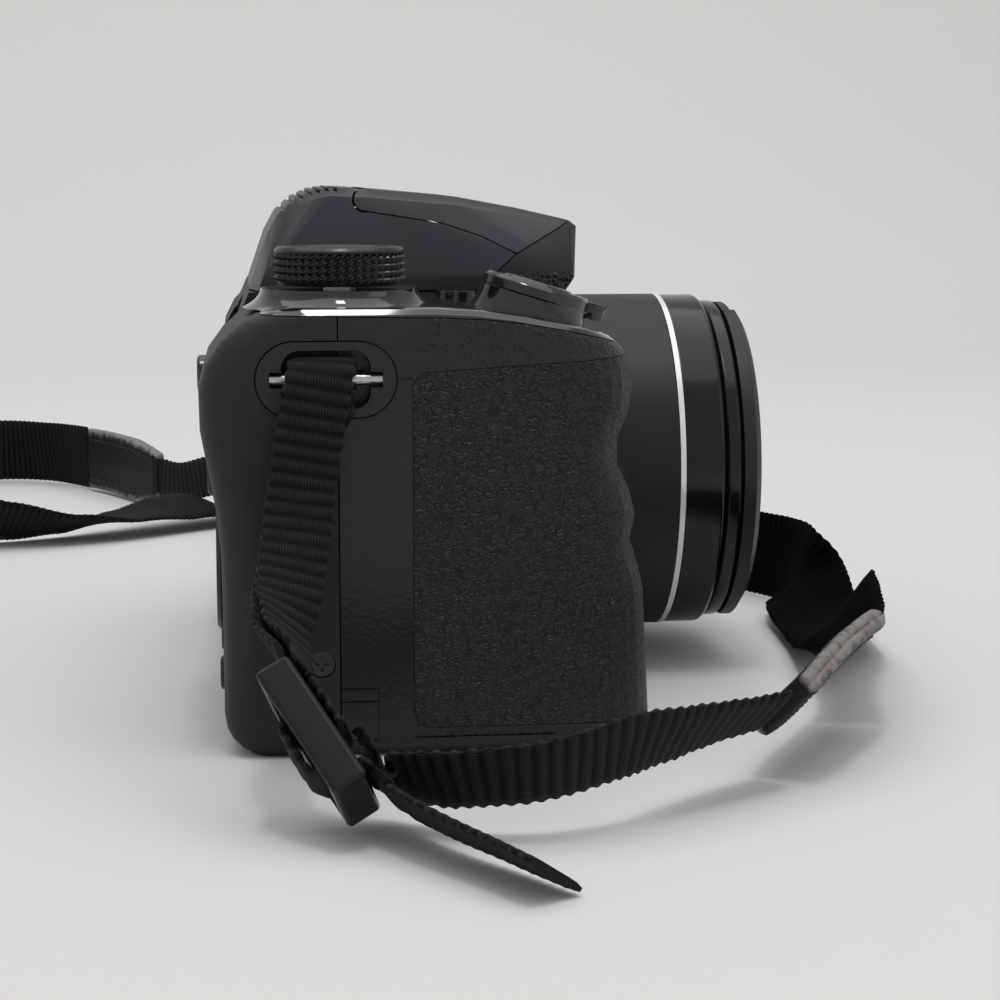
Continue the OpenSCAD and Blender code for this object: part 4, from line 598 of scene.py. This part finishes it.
def gloss_plastic(name, level, rough, specular=0.5, coat=0.3):
    finish, shader = start_finish(name)
    haze = noise(finish, object_place(finish), 90.0, 5.0)
    join(finish, remap(finish, haze, To_Min=rough * 0.7, To_Max=rough * 1.4), shader.inputs["Roughness"])
    tint = ramp(finish, haze, (level * 0.85,) * 3, (level * 1.15,) * 3)
    join(finish, tint, shader.inputs["Base Color"])
    set_sockets(shader, Specular_IOR_Level=specular, Coat_Weight=coat, Coat_Roughness=0.04)
    return finish


def metal(name, colour, rough, plated=1.0):
    finish, shader = start_finish(name)
    rub = noise(finish, object_place(finish), 700.0, 3.0)
    join(finish, remap(finish, rub, To_Min=rough - 0.05, To_Max=rough + 0.05), shader.inputs["Roughness"])
    join(finish, ramp(finish, rub, scaled(colour, 0.92), colour), shader.inputs["Base Color"])
    set_sockets(shader, Metallic=plated)
    return finish


def clear_glass(name, colour, rough=0.02):
    finish, shader = start_finish(name)
    smear = noise(finish, object_place(finish), 120.0, 4.0)
    join(finish, remap(finish, smear, To_Min=rough, To_Max=rough * 2.5), shader.inputs["Roughness"])
    set_sockets(shader, Base_Color=colour + (1,), Transmission_Weight=1.0, IOR=1.52)
    return finish


grip_rubber = pebbled_rubber("grip_rubber_pebbled")
piano_gloss = gloss_plastic("piano_gloss", 0.009, 0.07, 0.5, 0.5)
gloss_key = gloss_plastic("gloss_key", 0.012, 0.14)
gloss_front = gloss_plastic("gloss_front", 0.005, 0.15, 0.36, 0.0)
buckle_black = gloss_plastic("buckle_black", 0.005, 0.27, 0.3, 0.0)
# The trim ring is bright metal; its near-white colour on a mostly unmetallic surface is painted reflection of the pale
# room.
bright_trim = metal("bright_trim", (0.93, 0.93, 0.94), 0.2, plated=0.2)
lug_steel = metal("lug_steel", (0.56, 0.55, 0.54), 0.28)
screw_black = metal("screw_black", (0.10, 0.10, 0.105), 0.34)
cell_wrap = metal("cell_wrap", (0.34, 0.35, 0.38), 0.3)
optic = clear_glass("optic", (0.86, 0.90, 0.95))
flash_clear = clear_glass("flash_clear", (0.92, 0.93, 0.95), 0.06)
board_green = moulded("board_green", (0.02, 0.10, 0.05), 0.3, 0.45, 1.2, 0.02)
lamp_amber = clear_glass("lamp_amber", (0.95, 0.35, 0.12), 0.08)
screen_black = gloss_plastic("screen_black", 0.006, 0.05)
print("gloss, metal and glass finishes made")

# %% [markdown]
# Woven polyester takes its look from threads: the warp runs along the band in columns, and each rib is one pass of
# the weft. Where they cross, a small bump shows, coloured bright on its crest as painted highlight and dark in the gap
# around it as painted shade. The band's own UV map is in millimetres, so the bumps are drawn at their true size, and a
# fine noise adds loose fibres. The neck strap takes two copies of one finish: a darker one near the lens as painted
# shade, and a lighter one on its far part as painted light.

# %% Webbing and leather
def woven(name, colour, column_mm=0.43, rib_mm=2.1, sheen=0.04, gleam=0.12):
    finish, shader = start_finish(name)
    chart = band_chart(finish)
    side = axes(finish, chart)
    slant = maths(finish, "MULTIPLY_ADD", side["Y"], 0.16, side["X"])

    def wave(socket, pitch_mm, swing, fullness):
        turn = maths(finish, "MULTIPLY", socket, math.pi / pitch_mm)
        return maths(finish, "POWER", maths(finish, "ABSOLUTE", maths(finish, swing, turn)), fullness)

    threads = maths(finish, "MULTIPLY", wave(slant, column_mm, "SINE", 0.8), wave(side["Y"], rib_mm, "COSINE", 1.1))
    fuzz = noise(finish, chart, 3.2, 4.0)
    emboss(finish, shader, maths(finish, "MULTIPLY_ADD", fuzz, 0.45, threads), 0.14, 0.9)
    # Painted highlight and shade: the colour runs from far darker than the webbing in the gaps to over three times
    # brighter on the thread crests.
    shade = maths(finish, "MULTIPLY", threads, fuzz)
    tint = ramp(finish, shade, scaled(colour, 0.15), scaled(colour, 3.2), (0.02, 0.6))
    join(finish, tint, shader.inputs["Base Color"])
    set_sockets(shader, Roughness=0.72, Specular_IOR_Level=gleam, Sheen_Weight=sheen, Sheen_Roughness=0.5)
    return finish


def worn_leather(name):
    finish, shader = start_finish(name)
    place = object_place(finish)
    side = maths(finish, "ABSOLUTE", axes(finish, band_chart(finish))["X"])
    rub = noise(finish, place, 420.0, 5.0)
    worn = maths(finish, "MULTIPLY", maths(finish, "MULTIPLY_ADD", rub, 0.5, side), 0.8)
    tint = ramp(finish, worn, (0.0065, 0.0058, 0.0068), (0.21, 0.2, 0.195), (0.86, 1.0))
    join(finish, tint, shader.inputs["Base Color"])
    grain = cells(finish, place, "SMOOTH_F1", Scale=1600.0, Smoothness=0.5)
    emboss(finish, shader, grain, 0.08, 0.8, invert=True)
    set_sockets(shader, Roughness=0.55, Specular_IOR_Level=0.28)
    return finish


web_black = woven("web_black", (0.0075, 0.0067, 0.0086))
# Two copies of one webbing finish: the darker one is painted shade for the neck strap near the lens, the lighter one
# painted light for its far part.
neck_painted_shade = woven("neck_painted_shade", (0.0016, 0.0014, 0.0022), 0.38, 1.5, 0.0, 0.03)
neck_painted_lit = woven("neck_painted_lit", (0.0062, 0.0057, 0.0072), 0.38, 1.5, 0.03, 0.1)
tab_leather = worn_leather("tab_leather")
thread_black = moulded("thread_black", (0.022, 0.021, 0.021), 0.2, 0.6, 0.25, 0.03)
for piece, finish, slot in ((tail, web_black, "webbing"), (ply, web_black, "webbing"), (lead, web_black, "webbing"),
                            (neck, neck_painted_shade, "webbing"), (lead_left, web_black, "webbing"),
                            (tab_right, tab_leather, "tab_leather"), (tab_left, tab_leather, "tab_leather"),
                            (sewn_right, thread_black, "webbing"), (sewn_left, thread_black, "webbing")):
    piece.data.materials.append(finish)
neck.data.materials.append(neck_painted_lit)
# The first part of the neck strap, by the lens, keeps the painted shade; the rest takes the painted light.
SHADED_SHARE = 0.3
shaded_faces = len(neck.data.polygons) * SHADED_SHARE
for face in neck.data.polygons:
    if face.index > shaded_faces:
        face.material_index = 1
print("strap finished, painted_lit faces:", sum(f.material_index for f in neck.data.polygons))

# %% [markdown]
# ## Dressing the moulded pieces
# A mould leaves small radii on every edge, and they catch the light. The CAD solids have sharp edges, so each
# visible piece is copied, its corners are merged, its flat triangles are joined, and a narrow bevel rounds its edges
# where it has room. Smooth shading with sharp edges kept by angle hides the facets of the curved walls.

# %% Copy and dress
MERGE_WITHIN = 0.002 * MM
FLAT_WITHIN, ROUND_FROM = math.radians(0.4), math.radians(32)
SATIN_SHARP, SHARP = 48.0, 30.0


def dress(node, finish, bevel_mm, sharp):
    source = frame["nodes"][node]
    body = source["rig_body"]
    bpy.ops.object.select_all(action="DESELECT")
    piece = bpy.data.objects.new(node + "_dressed", source.data.copy())
    bpy.context.scene.collection.objects.link(piece)
    piece.select_set(True)
    bpy.context.view_layer.objects.active = piece
    if piece.data.has_custom_normals:
        bpy.ops.mesh.customdata_custom_splitnormals_clear()
    bpy.ops.object.mode_set(mode="EDIT")
    bpy.ops.mesh.select_all(action="SELECT")
    bpy.ops.mesh.remove_doubles(threshold=MERGE_WITHIN)
    bpy.ops.mesh.dissolve_limited(angle_limit=FLAT_WITHIN)
    bpy.ops.object.mode_set(mode="OBJECT")
    if bevel_mm:
        bpy.ops.object.modifier_add(type="BEVEL")
        rounding = piece.modifiers[-1]
        rounding.width = bevel_mm * MM
        rounding.segments = 2
        rounding.limit_method = "ANGLE"
        rounding.angle_limit = ROUND_FROM
        rounding.use_clamp_overlap = True
        bpy.ops.object.modifier_apply(modifier=rounding.name)
    bpy.ops.object.shade_smooth_by_angle(angle=math.radians(sharp))
    bpy.ops.object.modifier_add(type="WEIGHTED_NORMAL")
    evener = piece.modifiers[-1]
    evener.keep_sharp = True
    bpy.ops.object.modifier_apply(modifier=evener.name)
    piece.data.materials.clear()
    piece.data.materials.append(finish)
    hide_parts(node)
    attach(piece, body)
    return piece


dressed = {}
for node, finish, slot, bevel_mm in (
        ("front_cover", leather_grain_shell, "matte_black", 0), ("rear_cover", matte_shell, "matte_black", 0),
        ("gloss_deck", piano_gloss, "gloss_black", 0), ("grip_skin", grip_rubber, "grip_rubber", 0),
        ("top_cover", satin_hump, "matte_black", 0.12), ("flash_lid", satin_hump, "matte_black", 0.12),
        ("lens_barrel", matte_barrel, "gloss_black", 0.2), ("zoom_front_tube", gloss_front, "gloss_black", 0.15),
        ("lens_cap", matte_key, "matte_black", 0.15), ("cap_tab_upper", matte_key, "gloss_black", 0.12),
        ("cap_tab_lower", matte_key, "gloss_black", 0.12), ("mode_dial", dial_black, "matte_black", 0),
        ("shutter_button", gloss_key, "gloss_black", 0.12), ("zoom_lever", gloss_key, "gloss_black", 0.15),
        ("power_button", gloss_key, "gloss_black", 0.15), ("lug_plate_right", matte_key, "matte_black", 0.12),
        ("lug_plate_left", matte_key, "matte_black", 0.12), ("strap_buckle_right", buckle_black, "gloss_black", 0.3),
        ("strap_buckle_left", buckle_black, "gloss_black", 0.2), ("jack_cover", matte_shell, "matte_black", 0.15),
        ("battery_door", matte_shell, "matte_black", 0.12), ("lcd_window", screen_black, "screen", 0.1),
        ("control_pad", matte_key, "matte_black", 0.1), ("centre_button", gloss_key, "gloss_black", 0.15),
        ("movie_button", gloss_key, "gloss_black", 0.1), ("play_button", matte_key, "matte_black", 0.1),
        ("menu_button", matte_key, "matte_black", 0.1), ("delete_button", matte_key, "matte_black", 0.1)):
    dressed[node] = dress(node, finish, bevel_mm, SATIN_SHARP if finish is satin_hump else SHARP)
print("dressed:", len(dressed), "largest:", max((len(p.data.polygons), p.name) for p in dressed.values()))

# %% [markdown]
# The lengths of the strap's bands are printed in millimetres.

# %% Strap lengths
print("cord lengths in mm:", [round(v / MM) for v in (tail_long, ply_long, lead_long, neck_long, lead_left_long)])

# %% [markdown]
# The barrel is matte behind its bright ring and glossy in front of it. Both belong to one moulding, so the front faces
# take a second finish, chosen by their place along the lens axis.

# %% Glossy front of the barrel
barrel = dressed["lens_barrel"]
barrel.data.materials.append(gloss_front)
ring_y = (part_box("lens_trim_ring")[0][1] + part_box("lens_trim_ring")[1][1]) / 2
for face in barrel.data.polygons:
    if face.center.y < ring_y:
        face.material_index = 1
print("glossy faces:", sum(f.material_index for f in barrel.data.polygons))

# %% [markdown]
# The nose under the hump is moulded with the front cover, but it has the fine grain of the rear. Its faces stand above
# the shoulder of the cover, between the sides of the hump.

# %% Fine-grained nose
front = dressed["front_cover"]
front.data.materials.append(matte_shell)
shoulder, hump_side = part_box("gloss_deck")[0][2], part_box("top_cover")[0][0]
for face in front.data.polygons:
    if face.center.z > shoulder and face.center.x > hump_side:
        face.material_index = 1
print("shoulder at", round(shoulder / MM, 1), "mm, fine faces:", sum(f.material_index for f in front.data.polygons))

# %% [markdown]
# The pieces whose CAD shape is already right keep it, and only take a finish.

# %% Finishes on the other nodes
for node, finish in (
        ("lens_trim_ring", bright_trim), ("flash_window", flash_clear), ("flash_hinge_pin", lug_steel),
        ("flash_release", gloss_key), ("dial_shaft", lug_steel), ("zoom_mid_tube", matte_barrel),
        ("lens_bezel", matte_barrel), ("front_lens", optic), ("rear_lens", optic), ("image_sensor", board_green),
        ("main_board", board_green), ("key_board", board_green), ("lcd_panel", cell_wrap),
        ("battery_box", inner_black), ("battery_cells", cell_wrap), ("battery_contacts", lug_steel),
        ("door_hinge_pin", lug_steel), ("flash_capacitor", gloss_key), ("tripod_socket", lug_steel),
        ("lug_bar_right", lug_steel), ("lug_bar_left", lug_steel), ("jack_socket", lug_steel),
        ("af_lamp", lamp_amber), ("case_screws", screw_black)):
    mesh = frame["nodes"][node].data
    mesh.materials.clear()
    mesh.materials.append(finish)
print("finished in place:", len([n for n in frame["nodes"] if n not in dressed]))
